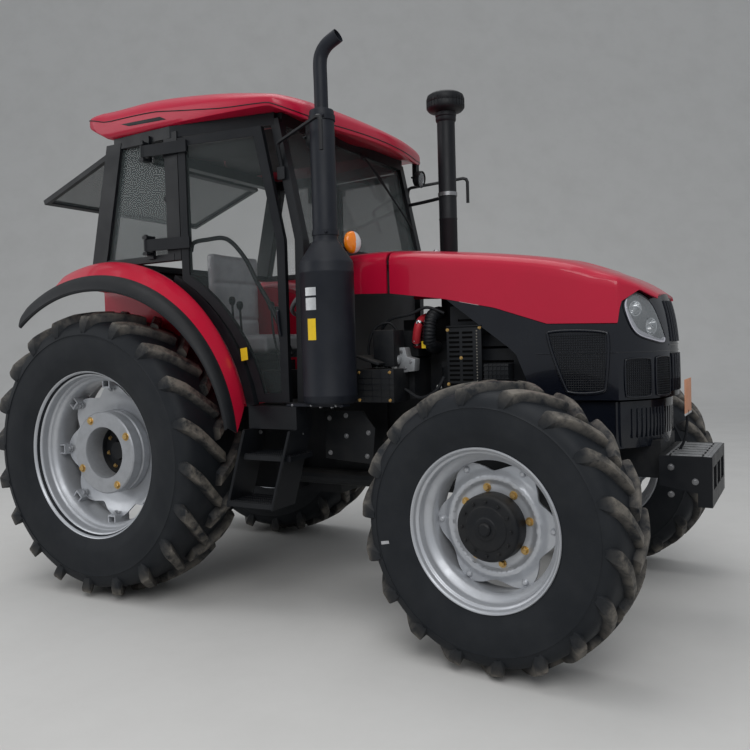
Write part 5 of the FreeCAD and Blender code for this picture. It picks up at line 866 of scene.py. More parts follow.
rings = LAMP_MIDDLE + (1 - breadth[:, None] * np.array([0.0, 0.5, 1.0]))[..., None] * (band - LAMP_MIDDLE)[:, None]
pale = shell(nose_point(rings[..., 0], rings[..., 1], 0 * rings[..., 0] + np.array([0.002, 0.004, -0.004])), 0.002)
rim_line = ringed(nose_point(LAMP[:, 0], LAMP[:, 1], 0.002), 0.0042, 8)
fix("lamp_domes", both(dome), lens, "hood", angle=60, slot="lamp_clear", hides=["headlamps"])
fix("lamp_pans", both(pan), surface("lamp_pan", (0.10, 0.10, 0.105), None, 9.0, rough=0.3, metal=0.4), "hood")
fix("lamp_bowls", both(merge(bowls)), chrome, "hood")
fix("lamp_bands", both(pale), surface("lamp_band", (0.55, 0.54, 0.6), (0.48, 0.47, 0.53), 8.0, rough=0.35, coat=0.5), "hood")
fix("lamp_rims", both(rim_line), gloss_black, "hood")


# Roof: rings of its plan, drawn in towards the spine as they rise over the rounded edge

def roof_plan(count=120):
    """The plan's edge: a straight tail with rounded corners, long sides and a bowed front."""
    half, back, front, corner = 0.79, -0.13, 1.345, 1.215
    radius = ((front - corner) ** 2 + (half - 0.08) ** 2) / (2 * (front - corner))
    a = np.linspace(math.asin((half - 0.08) / radius), 0, 14)
    bow_line = np.column_stack([front - radius + radius * np.cos(a), -radius * np.sin(a)])
    tail = [(back, 0.0), (back, -0.3), (back, -0.6), (back + 0.004, -half + 0.075), (back + 0.022, -half + 0.025),
            (back + 0.07, -half + 0.002), (back + 0.16, -half), (0.35, -half), (0.8, -half), (1.09, -half + 0.012),
            (1.17, -half + 0.04)]
    line = curve(np.vstack([tail, bow_line[1:]]), count)
    return np.vstack([line, line[-2:0:-1] * [1, -1]])


def roof_top(x):
    return along([-0.13, -0.09, 0.1, 0.39, 0.82, 1.215, 1.345], [2.648, 2.654, 2.66, 2.663, 2.619, 2.546, 2.524], x)


def roof_under(x):
    return np.interp(x, [-0.13, 0.04, 1.12, 1.285, 1.345], [2.575, 2.486, 2.486, 2.412, 2.41])


plan = roof_plan()
spine = np.column_stack([np.clip(plan[:, 0], 0.25, 0.95), 0 * plan[:, 0]])
inward = spine - plan
length = np.linalg.norm(inward, axis=1, keepdims=True)
roof_rings = []
for inset, rise in ((0.35, 0.0), (0.12, 0.0), (0.02, 0.0), (0.004, 0.05), (0.0, 0.16), (0.0, 0.5), (0.004, 0.6), (0.014, 0.7),
                    (0.03, 0.8), (0.055, 0.9), (0.085, 0.965), (0.12, 0.99), (0.18, 1.0), (0.3, 1.0), (0.5, 1.0)):
    at = plan + inward / length * np.minimum(inset, 0.9 * length)
    under, top = roof_under(at[:, 0]), roof_top(at[:, 0])
    roof_rings.append(np.column_stack([at, under + rise * (top - under)]))
for share_in in (0.6, 0.85, 1.0):
    at = plan + inward * share_in
    roof_rings.append(np.column_stack([at, roof_top(at[:, 0])]))
fix("roof_skin", grid(np.array(roof_rings), wrap_v=True), roof_red, angle=50, slot="roof_red", hides=["cab_roof"])
roof_lining = slab([(-0.06, 0.66), (-0.06, -0.66), (1.06, -0.66), (1.06, 0.66)], 2.4875, 2.492, "z")
fix("roof_lining", roof_lining, lining, bevel=0.001)
groove = plan + inward / length * -0.001
share = np.interp(plan[:, 0], [-0.13, 0.41, 0.87, 1.3], [0.52, 0.48, 0.22, 0.2])
groove = np.column_stack([groove, roof_under(plan[:, 0]) + share * (roof_top(plan[:, 0]) - roof_under(plan[:, 0]))])
fix("roof_groove", ringed(groove, 0.0026, 6), satin_black, angle=60)
vent = slab([(0.157, 2.545), (0.438, 2.540), (0.482, 2.519), (0.215, 2.526)], -0.7915, -0.780, "y")
fix("roof_vents", both(vent), satin_black, bevel=0.001)


# Fenders and flares: sections from the cab side outwards, each an arc in side view

STATIONS = np.array([  # distance from the middle, arc centre x and z, radius, front and rear angle, turn inwards
    (0.535, 0.008, 0.860, 0.880, 12, 110, 0), (0.745, 0.020, 0.875, 0.893, 11, 110, 0),
    (0.820, 0.026, 0.900, 0.915, 8, 109, 1), (0.970, 0.095, 0.858, 0.872, 4, 108, 4.4)])
FLARE = np.array([(0.9703, 0.095, 0.858, 0.872, 4, 124, 4.4), (1.004, 0.115, 0.846, 0.856, 6, 127, 4.4),
                  (1.027, 0.128, 0.831, 0.8385, 8, 128, 4.4), (1.035, 0.130, 0.824, 0.829, 8, 128, 4.4)])


def arch_skin(table, across, around_steps, smooth=True):
    """x = cx + r cos a, z = cz + r sin a, with y moved inwards in step with r cos a, from one station to the next."""
    at = np.linspace(0, len(table) - 1, across)
    rows = np.stack([np.interp(at, np.arange(len(table)), table[:, k]) for k in range(7)], 1)
    if smooth:
        rows = curve(table, across)
    y, cx, cz, r, start, end, turn = (rows[:, k][:, None] for k in range(7))
    a = np.radians(start + (end - start) * np.linspace(0, 1, around_steps)[None])
    x = r * np.cos(a)
    return np.stack([cx + x, -y + np.tan(np.radians(turn)) * x, cz + r * np.sin(a)], -1)


fender_parts = [shell(arch_skin(STATIONS, 22, 72), -0.012)]
arch_a = np.radians(np.linspace(12, 110, 40))
panel_ring = [(0.008 + 0.88 * math.cos(v), 0.86 + 0.88 * math.sin(v)) for v in arch_a]
panel_ring += [(panel_ring[-1][0], 1.014), (panel_ring[0][0], 1.014)]
fender_parts.append(slab(panel_ring, -0.547, -0.535, "y"))
fender = merge(fender_parts)
flare = merge([shell(arch_skin(FLARE, 10, 80), -0.010)])
for word, mirror in (("right", np.eye(3)), ("left", np.diag([1.0, -1.0, 1.0]))):
    fix("fender_skin_" + word, placed(fender, mirror), fender_red, angle=40, slot="fender_red", hides=["fender_" + word])
fix("flare_skin", both(flare), plastic_black, angle=50, slot="flare_black", hides=["fender_flares"])
lip = arch_skin(FLARE[-1:].repeat(2, 0) + [[-0.009, 0, 0, -0.004, 0, 0, 0]], 2, 80, smooth=False)[0]
fix("flare_lips", both(tube(lip, 0.008, 8)), plastic_black, angle=60)


# Exhaust with its can, clamps and open tip, and the intake stack with its ribbed cap

CAN_X, CAN_Y = 1.372, -0.694
can = upright([(0.0, 1.05), (0.112, 1.05), (0.122, 1.055), (0.13, 1.068), (0.13, 1.085), (0.1312, 1.088), (0.1312, 1.094),
               (0.13, 1.097), (0.13, 1.668), (0.1312, 1.671), (0.1312, 1.677), (0.13, 1.68), (0.13, 1.715), (0.126, 1.728),
               (0.07, 1.812), (0.061, 1.824), (0.059, 1.836), (0.059, 2.43), (0.056, 2.438), (0.036, 2.442), (0.034, 2.45)],
              CAN_X, CAN_Y, 64)
tail_path = curve([(CAN_X, CAN_Y, 2.43), (CAN_X, CAN_Y, 2.56), (CAN_X, CAN_Y, 2.66), (CAN_X + 0.012, CAN_Y, 2.705),
                   (CAN_X + 0.045, CAN_Y, 2.740), (CAN_X + 0.105, CAN_Y, 2.768)], 40)
tail = ringed(tail_path, 0.033, 24, wall=0.003)
sill_bracket = block((1.157, -0.755, 1.038), (1.478, -0.69, 1.049))
clamps = [upright([(0.0595, z - 0.012), (0.0635, z - 0.012), (0.0635, z + 0.012), (0.0595, z + 0.012)], CAN_X, CAN_Y, 40,
                  closed=True) for z in (1.862, 2.40)]
clamps += [bolt((CAN_X + 0.04, CAN_Y - 0.052, z), (0, -1, 0), 0.006, 0.01) for z in (1.862, 2.40)]
fix("exhaust_skin", merge([can, tail, sill_bracket] + clamps), heat_black, angle=35, slot="exhaust_charcoal", hides=["exhaust"])
under_bolts = [bolt((CAN_X + 0.05 * math.cos(k), CAN_Y + 0.05 * math.sin(k), 1.038), (0, 0, -1), 0.008, 0.008)
               for k in (0.4, 2.2, 4.0, 5.4)]
fix("exhaust_feet", merge(under_bolts + [bolt((x, -0.756, 1.0435), (0, -1, 0), 0.0045, 0.005) for x in (1.19, 1.3, 1.44)]), steel)


def can_plate(middle, width, low, high):
    """A thin plate wrapped on the can."""
    a = middle + np.linspace(-0.5, 0.5, 12) * width / 0.13
    z = np.linspace(low, high, 4)
    points = np.stack([CAN_X + 0.1309 * np.cos(a)[:, None] + 0 * z, CAN_Y + 0.1309 * np.sin(a)[:, None] + 0 * z,
                       z[None] + 0 * a[:, None]], -1)
    return shell(points, 0.0007)


fix("can_plates", merge([can_plate(-1.66, 0.062, 1.562, 1.60), can_plate(-1.66, 0.06, 1.495, 1.552)]), plate_silver)
fix("can_label", can_plate(-1.64, 0.046, 1.355, 1.455), plate_yellow)

pipe_profile = [(0.0, 1.45), (0.053, 1.45), (0.053, 2.05), (0.0545, 2.053), (0.0545, 2.059), (0.053, 2.062), (0.053, 2.625),
                (0.058, 2.63), (0.0605, 2.64), (0.0605, 2.652), (0.058, 2.655), (0.062, 2.66), (0.062, 2.68), (0.098, 2.69),
                (0.108, 2.70), (0.111, 2.712), (0.111, 2.735), (0.109, 2.738), (0.111, 2.741), (0.111, 2.764), (0.106, 2.779),
                (0.09, 2.79), (0.055, 2.797), (0.0, 2.8)]
ribs_round = [block((-0.001, 0.1, 2.706), (0.001, 0.1128, 2.76))]
ribs_round = [placed(ribs_round[0], [[math.cos(v), -math.sin(v), 0], [math.sin(v), math.cos(v), 0], [0, 0, 1]], (1.5, 0.472, 0))
              for v in np.linspace(0, 2 * np.pi, 30, endpoint=False)]
elbow = tube(curve([(1.5, 0.472, 1.53), (1.5, 0.472, 1.45), (1.5, 0.43, 1.398), (1.5, 0.34, 1.39), (1.5, 0.2, 1.39),
                    (1.5, 0.111, 1.39)], 30), 0.052, 24)
stay = tube(curve([(1.158, 0.652, 2.2), (1.3, 0.6, 2.2), (1.43, 0.54, 2.2), (1.47, 0.52, 2.2), (1.5, 0.524, 2.2)], 24), 0.0108, 12)
fix("intake_skin", merge([upright(pipe_profile, 1.5, 0.472, 56), elbow, stay] + ribs_round), plastic_black, angle=35,
    slot="intake_black", hides=["intake_stack"])
band_ring = upright([(0.054, 2.19), (0.057, 2.19), (0.057, 2.212), (0.054, 2.212)], 1.5, 0.472, 40, closed=True)
fix("intake_clamp", merge([band_ring, bolt((1.5, 0.528, 2.201), (0, 1, 0), 0.006, 0.012)]), steel)


# Lamps: amber behind and clear ahead on the cowl, round work lamps under the roof

def ahead(profile, place, direction=(1, 0, 0), steps=40, closed=False):
    """A (radius, along) profile turned about a direction and set at a place."""
    turn = np.array(Vector(direction).normalized().to_track_quat("Y", "Z").to_matrix())
    return placed(spin(profile, steps, closed=closed), turn, place)


turn_at = (1.400, -0.5, 1.835)
turn_dir = (0.97, -0.22, 0)
housing = [(0.0, -0.03), (0.022, -0.029), (0.036, -0.022), (0.05, -0.006), (0.0545, 0.0), (0.055, 0.003), (0.0535, 0.005), (0.0, 0.004)]
lens_dome = curve([(0.0535, 0.002), (0.0535, 0.008), (0.050, 0.0165), (0.041, 0.0235), (0.027, 0.028), (0.012, 0.0298), (0.0, 0.03)], 16)
stalk = tube([(1.206, -0.5, 1.813), (1.30, -0.5, 1.813), (1.352, -0.5, 1.808), (1.39, -0.5, 1.80)], 0.0095, 12)
foot = block((1.222, -0.61, 2.345), (1.25, -0.57, 2.475))
cup = [(0.0, -0.002), (0.03, 0.0), (0.046, 0.012), (0.051, 0.03), (0.052, 0.05), (0.049, 0.053), (0.046, 0.05), (0.044, 0.04),
       (0.0, 0.036)]
cup_at = np.array([1.227, -0.59, 2.345])
fix("lamp_housings", both(merge([ahead(housing, turn_at, turn_dir), stalk, foot, ahead(cup, cup_at, (56, 0, -8)),
                                 tube([(1.236, -0.648, 2.345), (1.236, -0.532, 2.345)], 0.006, 10)])),
    plastic_black, angle=40, slot="lamp_body", hides=["lamps"])


def half_lens(first, last):
    """The share of the lens between two turns about the lamp's direction, 0 being its outer side."""
    turn = np.array(Vector(turn_dir).normalized().to_track_quat("Y", "Z").to_matrix())
    a = np.radians(np.linspace(first, last, 24))[:, None]
    r, y = lens_dome[None, :, 0], lens_dome[None, :, 1]
    points = np.stack([r * np.cos(a), y + 0 * a, r * np.sin(a)], -1)
    return placed(shell(points, 0.002), turn, turn_at)


fix("turn_lamps_amber", both(half_lens(-90, 90)), amber, angle=60)
fix("turn_lamps_clear", both(half_lens(90, 270)), turn_clear, angle=60)
work_dome = [(0.045, 0.044), (0.036, 0.049), (0.018, 0.052), (0.0, 0.053)]
work_bowl = [(0.0, 0.008), (0.02, 0.012), (0.036, 0.024), (0.044, 0.04)]
fix("work_lenses", both(ahead(work_dome, cup_at, (56, 0, -8))), lens, angle=60)
fix("work_bowls", both(ahead(work_bowl, cup_at + [0.004, 0, 0], (56, 0, -8))), chrome, angle=60)


# Cab inside: console, steering wheel, levers, seat

tilt = math.radians(35)
axis = np.array([-math.sin(tilt), 0, math.cos(tilt)])
hub_at = np.array([0.88, 0.0, 1.62])
console = slab([(1.06, 1.04), (1.164, 1.04), (1.164, 1.765), (1.12, 1.795), (1.045, 1.808), (1.012, 1.79), (1.0, 1.76), (1.035, 1.6),
                (1.04, 1.5)], -0.21, 0.21, "y")
column = tube([hub_at - 0.3 * axis, hub_at - 0.16 * axis, hub_at - 0.15 * axis, hub_at - 0.02 * axis],
              [0.03, 0.03, 0.025, 0.025], 20)
fix("console_block", merge([console, column]), plastic_black, bevel=0.012, slot="console_grey", hides=["dash_console"])
grip = [(0.186 + 0.0135 * math.cos(v), 0.0135 * math.sin(v)) for v in np.linspace(0, 2 * np.pi, 16, endpoint=False)]
wheel_parts = [ahead(grip, hub_at, axis, 72, closed=True)]
boss_profile = [(0.0, 0.02), (0.03, 0.019), (0.044, 0.012), (0.048, 0.0), (0.046, -0.016), (0.0, -0.018)]
side_dir = np.array([math.cos(tilt), 0, math.sin(tilt)])
for v in (math.pi / 3, math.pi, 5 * math.pi / 3):
    out_dir = math.cos(v) * side_dir + math.sin(v) * np.array([0, 1.0, 0])
    wheel_parts.append(tube([hub_at + 0.03 * out_dir - 0.01 * axis, hub_at + 0.11 * out_dir - 0.008 * axis,
                             hub_at + 0.186 * out_dir], [0.013, 0.009, 0.011], 10))
fix("steering_wheel", merge(wheel_parts + [ahead(boss_profile, hub_at, axis, 32)]), film, angle=50)
gauges = [ahead([(0.0, 0.004), (0.04, 0.004), (0.045, 0.0), (0.045, -0.02)], (1.0245, y, 1.67), (-1, 0, 0.35), 28)
          for y in (-0.12, -0.02, 0.08)]
fix("gauges", merge(gauges), gloss_black)
levers = []
for x, y, high in ((0.80, -0.33, 1.56), (0.86, -0.36, 1.53), (0.55, -0.36, 1.60), (0.62, -0.38, 1.57), (0.82, 0.34, 1.5)):
    levers.append(tube(curve([(x, y, 1.12), (x + 0.01, y, 1.25), (x - 0.02, y, 1.4), (x - 0.03, y, high - 0.02)], 16), 0.007, 8))
    levers.append(upright([(0.0, high + 0.02), (0.014, high + 0.016), (0.02, high), (0.016, high - 0.02), (0.009, high - 0.03)],
                          x - 0.03, y, 16))
levers.append(block((0.48, -0.46, 1.04), (0.92, -0.28, 1.2)))
levers.append(block((0.74, 0.29, 1.04), (0.90, 0.40, 1.15)))
fix("levers", merge(levers), plastic_black, bevel=0.004)


def pad(name, low, high, hides, cap, seams):
    """A stuffed pad: a rounded block remeshed, blown up as cloth, capped and smoothed once."""
    source = piece(name, placed(block(low, high), shift=(AX, 0, 0)), "chassis", film, bevel=0.018, slot="seat_cloth")
    remesh = source.modifiers.new("remesh", "REMESH")
    remesh.mode = "VOXEL"
    remesh.voxel_size = 0.008
    settle(source)
    start = coords(source)
    cloth = source.modifiers.new("cloth", "CLOTH")
    cloth.settings.use_pressure = True
    cloth.settings.uniform_pressure_force = 4
    cloth.settings.effector_weights.gravity = 0
    for step in range(1, 21):
        scene.frame_set(step)
    settle(source)
    moved = coords(source) - start
    reach = np.linalg.norm(moved, axis=1, keepdims=True)
    points = start + moved * np.minimum(1, cap / np.maximum(reach, 1e-9))
    source.data.vertices.foreach_set("co", seams(points).ravel())
    scene.frame_set(1)
    source.modifiers.new("soft", "SUBSURF").levels = 1
    settle(source)
    source.data.shade_smooth()
    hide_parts(hides)
    return source


def coords(obj):
    points = np.empty(3 * len(obj.data.vertices))
    obj.data.vertices.foreach_get("co", points)
    return points.reshape(-1, 3)


def settle(obj):
    """Apply the modifiers by taking the evaluated mesh."""
    bpy.context.view_layer.update()
    graph = bpy.context.evaluated_depsgraph_get()
    mesh = bpy.data.meshes.new_from_object(obj.evaluated_get(graph))
    obj.modifiers.clear()
    obj.data = mesh


def back_seams(points):
    """Cross channels on the front of the back rest: x moves in by a narrow trough at each seam height."""
    trough = sum(np.exp(-((points[:, 2] - z) / 0.012) ** 2) for z in (1.5, 1.72))
    points[:, 0] -= 0.008 * trough * np.clip((points[:, 0] - AX - 0.245) / 0.03, 0, 1)
    return points


def seat_seams(points):
    """Two channels along the seat: z moves down by a narrow trough at each seam."""
    trough = sum(np.exp(-((points[:, 1] - y) / 0.012) ** 2) for y in (-0.13, 0.13))
    points[:, 2] -= 0.008 * trough * np.clip((points[:, 2] - 1.35) / 0.03, 0, 1)
    return points


pad("seat_pad", (0.302, -0.225, 1.300), (0.650, 0.225, 1.390), "seat_cushion", 0.012, seat_seams)
pad("back_pad", (0.212, -0.225, 1.325), (0.275, 0.225, 1.905), "seat_back", 0.012, back_seams)


# Cab outside: grab tubes, wiper, handles, latch knobs, hinge caps and sill trim

def door_inside(x):
    """How far out the inner face of the slanted door lies at a place along it."""
    return 0.728 - 0.122 * (x - 0.55)


for word, side in (("right", -1), ("left", 1)):
    grab = [(x, side * (door_inside(x) - off), z) for x, z, off in (
        (0.556, 1.84, 0.004), (0.562, 1.884, 0.018), (0.64, 1.896, 0.024), (0.76, 1.89, 0.024), (0.86, 1.79, 0.024),
        (0.93, 1.66, 0.024), (1.0, 1.54, 0.024), (1.09, 1.35, 0.022), (1.125, 1.285, 0.004))]
    fix("grab_tube_" + word, tube(curve(grab, 60), 0.0115, 12), satin_black, "door_" + word)
    handle = [(x, side * (door_inside(x) + 0.034 + off), z) for x, z, off in (
        (1.108, 1.385, 0.0), (1.106, 1.39, 0.022), (1.100, 1.44, 0.026), (1.096, 1.5, 0.022), (1.096, 1.505, 0.0))]
    fix("door_handle_" + word, merge([tube(curve(handle, 24), 0.008, 10),
                                      bolt((1.1, side * (door_inside(1.1) + 0.034), 1.36), (0, side, 0), 0.013, 0.008)]),
        gloss_black, "door_" + word)
    knobs = []
    for z in (1.90, 2.12, 2.35):
        knobs.append(ahead([(0.0, 0.016), (0.011, 0.015), (0.017, 0.008), (0.015, 0.0)], (0.44, side * 0.762, z), (0, side, 0), 20))
    fix("latch_knobs_" + word, merge(knobs), plastic_black)
    pins = [upright([(0.0, z + 0.008), (0.009, z + 0.006), (0.011, z), (0.0105, z - 0.004)], 0.33, side * 0.815, 16)
            for z in (2.422, 1.932)]
    fix("hinge_caps_" + word, merge(pins), satin_black)
wiper = [tube(curve([(1.145, 0.10, 2.40), (1.150, 0.12, 2.39), (1.168, 0.3, 2.26), (1.182, 0.48, 2.14)], 24),
              np.interp(np.linspace(0, 1, 24), [0, 1], [0.007, 0.004]), 8),
         tube([(1.155, 0.22, 2.34), (1.172, 0.42, 2.19), (1.19, 0.62, 2.04)], 0.005, 6),
         ahead([(0.0, 0.014), (0.018, 0.012), (0.024, 0.0)], (1.13, 0.10, 2.41), (1, 0, 0.2), 20)]
fix("wiper", merge(wiper), satin_black)
sill_trim = []
for x in (1.165, 1.05, 0.9, 0.78):
    sill_trim.append(bolt((x, -0.701, 0.965), (0, -1, 0), 0.008, 0.006))
oval = ahead([(0.0, 0.014), (0.02, 0.013), (0.03, 0.008), (0.033, 0.0)], (1.03, -0.70, 0.995), (0, -1, 0), 28)
fix("sill_trim", both(merge(sill_trim + [oval])), cast_black, angle=50)
fix("fender_label", slab([(0.893, 1.262), (0.935, 1.268), (0.93, 1.33), (0.888, 1.324)], -0.7612, -0.7604, "y"), plate_yellow,
    "door_right")


# Steps: toothed edges on the treads, slim rods and bolts

def toothed(x_low, x_high, y_low, y_high, z):
    """A tread plate whose long edges stand up in small teeth."""
    x = np.arange(x_low + 0.006, x_high - 0.004, 0.012)
    parts = []
    for y in np.linspace(y_low + 0.004, y_high - 0.004, 5):
        up = np.column_stack([np.repeat(x, 4) + np.tile([0, 0.001, 0.008, 0.009], len(x)),
                              z + np.tile([0, 0.007, 0.007, 0], len(x))])
        ring = np.vstack([[x_low + 0.004, z - 0.002], up, [x_high - 0.004, z - 0.002]])
        parts.append(slab(ring, y - 0.0018, y + 0.0018, "y"))
    return merge(parts)


treads = [toothed(0.935, 1.215, -0.82, -0.63, 0.800), toothed(0.865, 1.14, -0.88, -0.69, 0.575)]
rods = []
for low_x, high_x in ((0.869, 0.939), (1.136, 1.211)):
    rods.append(tube([(low_x, -0.884, 0.55), (high_x, -0.824, 0.92)], 0.008, 8))
fix("tread_teeth", both(merge(treads)), satin_black, angle=20)
rods = [placed(r, shift=(0, 0.006, 0)) for r in rods]
fix("step_rods", both(merge(rods)), satin_black)
fix("step_bolts", both(merge([bolt((x, -0.70, 0.90), (0, -1, 0), 0.008, 0.006) for x in (0.95, 1.2)])), steel)


# Engine bay on the right: boxes, casting, hoses, guard and small fittings

bay = [block((1.428, -0.55, 1.043), (1.642, -0.385, 1.206)), block((1.505, -0.50, 1.215), (1.621, -0.385, 1.395)),
       slab([(1.44, 1.262), (1.565, 1.222), (1.572, 1.236), (1.447, 1.276)], -0.56, -0.384, "y")]
fix("bay_boxes", merge(bay), cast_black, bevel=0.006)
lines = [block((1.427, -0.552, z), (1.643, -0.548, z + 0.006)) for z in (1.07, 1.1, 1.13, 1.16)]
lines += [block((x, -0.552, 1.05), (x + 0.005, -0.549, 1.2)) for x in (1.47, 1.52, 1.57, 1.615)]
fix("bay_box_ribs", merge(lines), satin_black, bevel=0.001)
casting = slab([(1.53, 1.19), (1.60, 1.178), (1.70, 1.19), (1.705, 1.25), (1.66, 1.262), (1.65, 1.307), (1.56, 1.31), (1.528, 1.27)],
               -0.44, -0.384, "y")
casting_bolts = [bolt((x, -0.44, z), (0, -1, 0), 0.006, 0.007) for x, z in
                 ((1.55, 1.21), (1.60, 1.2), (1.65, 1.205), (1.68, 1.235), (1.57, 1.285), (1.63, 1.285))]
fix("bay_casting", merge([casting, ahead([(0.0, 0.03), (0.022, 0.028), (0.03, 0.02), (0.032, 0.0)], (1.6, -0.44, 1.247), (0, -1, 0), 28)]),
    bare_grey, bevel=0.005)
fix("bay_casting_bolts", merge(casting_bolts), steel)
hose = curve([(1.665, -0.30, 1.315), (1.672, -0.35, 1.325), (1.684, -0.372, 1.36), (1.694, -0.372, 1.41), (1.70, -0.345, 1.44),
              (1.705, -0.29, 1.455)], 40)
fix("bay_hose_red", tube(hose, 0.021, 20), hose_red)
clamp_parts = []
for k in (10, 26):
    direction = hose[k + 1] - hose[k - 1]
    clamp_parts.append(ahead([(0.0208, -0.006), (0.0232, -0.006), (0.0232, 0.006), (0.0208, 0.006)], hose[k], direction, 28, closed=True))
    clamp_parts.append(bolt(hose[k] + [0.0, -0.023, 0.0], (0, 0, 1), 0.005, 0.012, washer=False))
fix("bay_clamps", merge(clamp_parts), chrome)
bend = curve([(1.735, -0.25, 1.30), (1.745, -0.33, 1.31), (1.752, -0.375, 1.345), (1.76, -0.38, 1.41), (1.765, -0.35, 1.46),
              (1.77, -0.27, 1.475)], 90)
fix("bay_elbow", tube(bend, 0.031 + 0.0028 * np.sin(np.linspace(0, 46 * np.pi, 90)), 22), plastic_black, angle=70)
lead = curve([(1.50, -0.40, 1.40), (1.56, -0.40, 1.45), (1.66, -0.39, 1.47), (1.74, -0.37, 1.50), (1.82, -0.34, 1.47)], 40)
lead_two = curve([(1.46, -0.42, 1.21), (1.44, -0.43, 1.30), (1.47, -0.42, 1.40), (1.55, -0.40, 1.43), (1.60, -0.38, 1.36)], 40)
lead_three = curve([(1.64, -0.43, 1.10), (1.72, -0.43, 1.06), (1.80, -0.42, 1.09), (1.84, -0.40, 1.16)], 30)
fix("bay_pipes", merge([tube(lead, 0.008, 10), tube(lead_two, 0.007, 10), tube(lead_three, 0.009, 10)]), plastic_black)
fix("bay_label", block((1.716, -0.386, 1.30), (1.738, -0.384, 1.335)), plate_yellow)

# The guard's slots are thin near-black plates laid on its face: painted shade standing in for the dark openings
guard_slot_shades = []
for z in np.arange(1.118, 1.385, 0.0225):
    for x in (1.872, 1.94):
        guard_slot_shades.append(slab([(x, z), (x + 0.052, z), (x + 0.052, z + 0.010), (x, z + 0.010)], -0.4065, -0.404, "y"))
frame_parts = [slab([(1.858, 1.105), (2.036, 1.105), (2.036, 1.402), (1.858, 1.402)], -0.404, -0.398, "y"),
               block((1.858, -0.412, 1.103), (2.036, -0.398, 1.109)), block((1.858, -0.412, 1.398), (2.036, -0.398, 1.404))]
fix("bay_guard", merge(frame_parts), satin_black, bevel=0.002)
fix("bay_guard_slot_shades", merge(guard_slot_shades), surface("slot_painted_shade", (0.002, 0.002, 0.002), None, 5.0, rough=0.8, specular=0.05))
holes = [ahead([(0.0, 0.0), (0.0035, 0.0006), (0.004, 0.0)], (2.013, -0.4045, z), (0, -1, 0), 10) for z in np.arange(1.125, 1.39, 0.014)]
fix("bay_guard_holes", merge(holes), surface("hole_pale", (0.16, 0.15, 0.13), None, 5.0, rough=0.7))
fix("bay_guard_bolts", merge([bolt((x, -0.4045, z), (0, -1, 0), 0.006, 0.006) for x, z in
                              ((1.864, 1.125), (1.864, 1.385), (2.028, 1.115), (2.028, 1.392), (1.932, 1.25))]), zinc)
grid_box = [block((2.053, -0.42, 1.113), (2.171, -0.34, 1.22))]
grid_box += [block((2.05, -0.4235, z), (2.174, -0.4195, z + 0.005)) for z in (1.128, 1.148, 1.168, 1.188, 1.208)]
grid_box += [block((x, -0.4235, 1.11), (x + 0.005, -0.4195, 1.222)) for x in (2.07, 2.09, 2.11, 2.13, 2.15)]
fix("bay_grid_box", merge(grid_box), satin_black, bevel=0.001)
caps = [upright([(0.0, z + 0.018), (0.011, z + 0.016), (0.014, z + 0.006), (0.014, z)], x, y, 20)
        for x, y, z in ((1.49, -0.43, 1.206), (1.60, -0.46, 1.206), (1.78, -0.33, 1.10))]
fix("bay_caps", merge(caps), surface("cap_white", (0.6, 0.6, 0.58), None, 20.0, rough=0.4))
fix("bay_bolts", merge([bolt((x, y, z), (0, -1, 0), 0.006, 0.006) for x, y, z in
                        ((1.45, -0.551, 1.055), (1.62, -0.551, 1.055), (1.45, -0.551, 1.19), (1.62, -0.551, 1.19))]), zinc)


# Below the cab: the bolted plate ahead of the steps

plate = slab([(1.17, 0.74), (1.45, 0.72), (1.47, 0.90), (1.40, 0.99), (1.17, 0.99)], -0.44, -0.43, "y")
fix("under_plate", plate, cast_black, bevel=0.003)
fix("under_bolts", merge([bolt((x, -0.44, z), (0, -1, 0), 0.009, 0.008) for x, z in
                          ((1.2, 0.77), (1.42, 0.76), (1.43, 0.88), (1.2, 0.95), (1.3, 0.965), (1.3, 0.86))]), steel)


# Front bracket: worn top plate with its rolled edge, and the tag on its arm

strips = []
for y in (-0.2445, -0.166, -0.088, -0.010, 0.068, 0.146):
    strips.append(block((2.84, y, 0.8003), (2.985, y + 0.052, 0.8035)))
strips += [block((2.83, -0.2445, 0.8003), (2.85, 0.2445, 0.8035)), block((2.975, -0.2445, 0.8003), (3.0, 0.2445, 0.8035))]
strips.append(tube([(3.006, -0.2445, 0.7905), (3.006, 0.2445, 0.7905)], 0.0135, 14))
worn = surface("worn_silver", (0.33, 0.335, 0.34), (0.16, 0.16, 0.165), 26.0, rough=0.42, metal=0.6, bump=0.15, bump_scale=120)
fix("bracket_top", merge(strips), worn, bevel=0.001)
fix("bracket_bolts", merge([bolt((x, -0.2502, z), (0, -1, 0), 0.010, 0.009) for x, z in ((2.85, 0.63), (2.85, 0.75), (2.95, 0.69))]),
    steel)
arm = [tube(curve([(2.86, -0.05, 0.80), (2.885, -0.05, 0.86), (2.893, -0.052, 0.93), (2.896, -0.055, 0.985)], 16), 0.0065, 8)]
fix("tag_arm", merge(arm), satin_black)
fix("tag", block((2.897, -0.155, 0.975), (2.900, 0.045, 1.13)), tag_orange, bevel=0.0008)
fix("tag_edge", block((2.8965, -0.156, 0.967), (2.9005, 0.046, 0.977)), plate_silver, bevel=0.0006)


# A small blank sticker on a tyre wall

def wall_sticker(end, side, angle, radius, across, along_wall):
    """A thin patch on the side wall, at an angle about the axle."""
    turn, shift = wheel_place(end, side)
    half = {"rear": 0.215, "front": 0.1575}[end]
    a = angle + np.linspace(-0.5, 0.5, 6) * along_wall / radius
    r = radius + np.linspace(-0.5, 0.5, 4) * across
    points = np.stack([r[:, None] * np.cos(a)[None], 0 * r[:, None] + 0 * a[None] + half * 1.003, r[:, None] * np.sin(a)[None]], -1)
    return placed(shell(points, 0.0008), turn, shift)


sticker_paint = surface("sticker_pale", (0.42, 0.42, 0.43), (0.3, 0.3, 0.31), 40.0, rough=0.5)
piece("sticker_front_right", wall_sticker("front", -1, 3.35, 0.455, 0.04, 0.013), "wheel_front_right", sticker_paint)


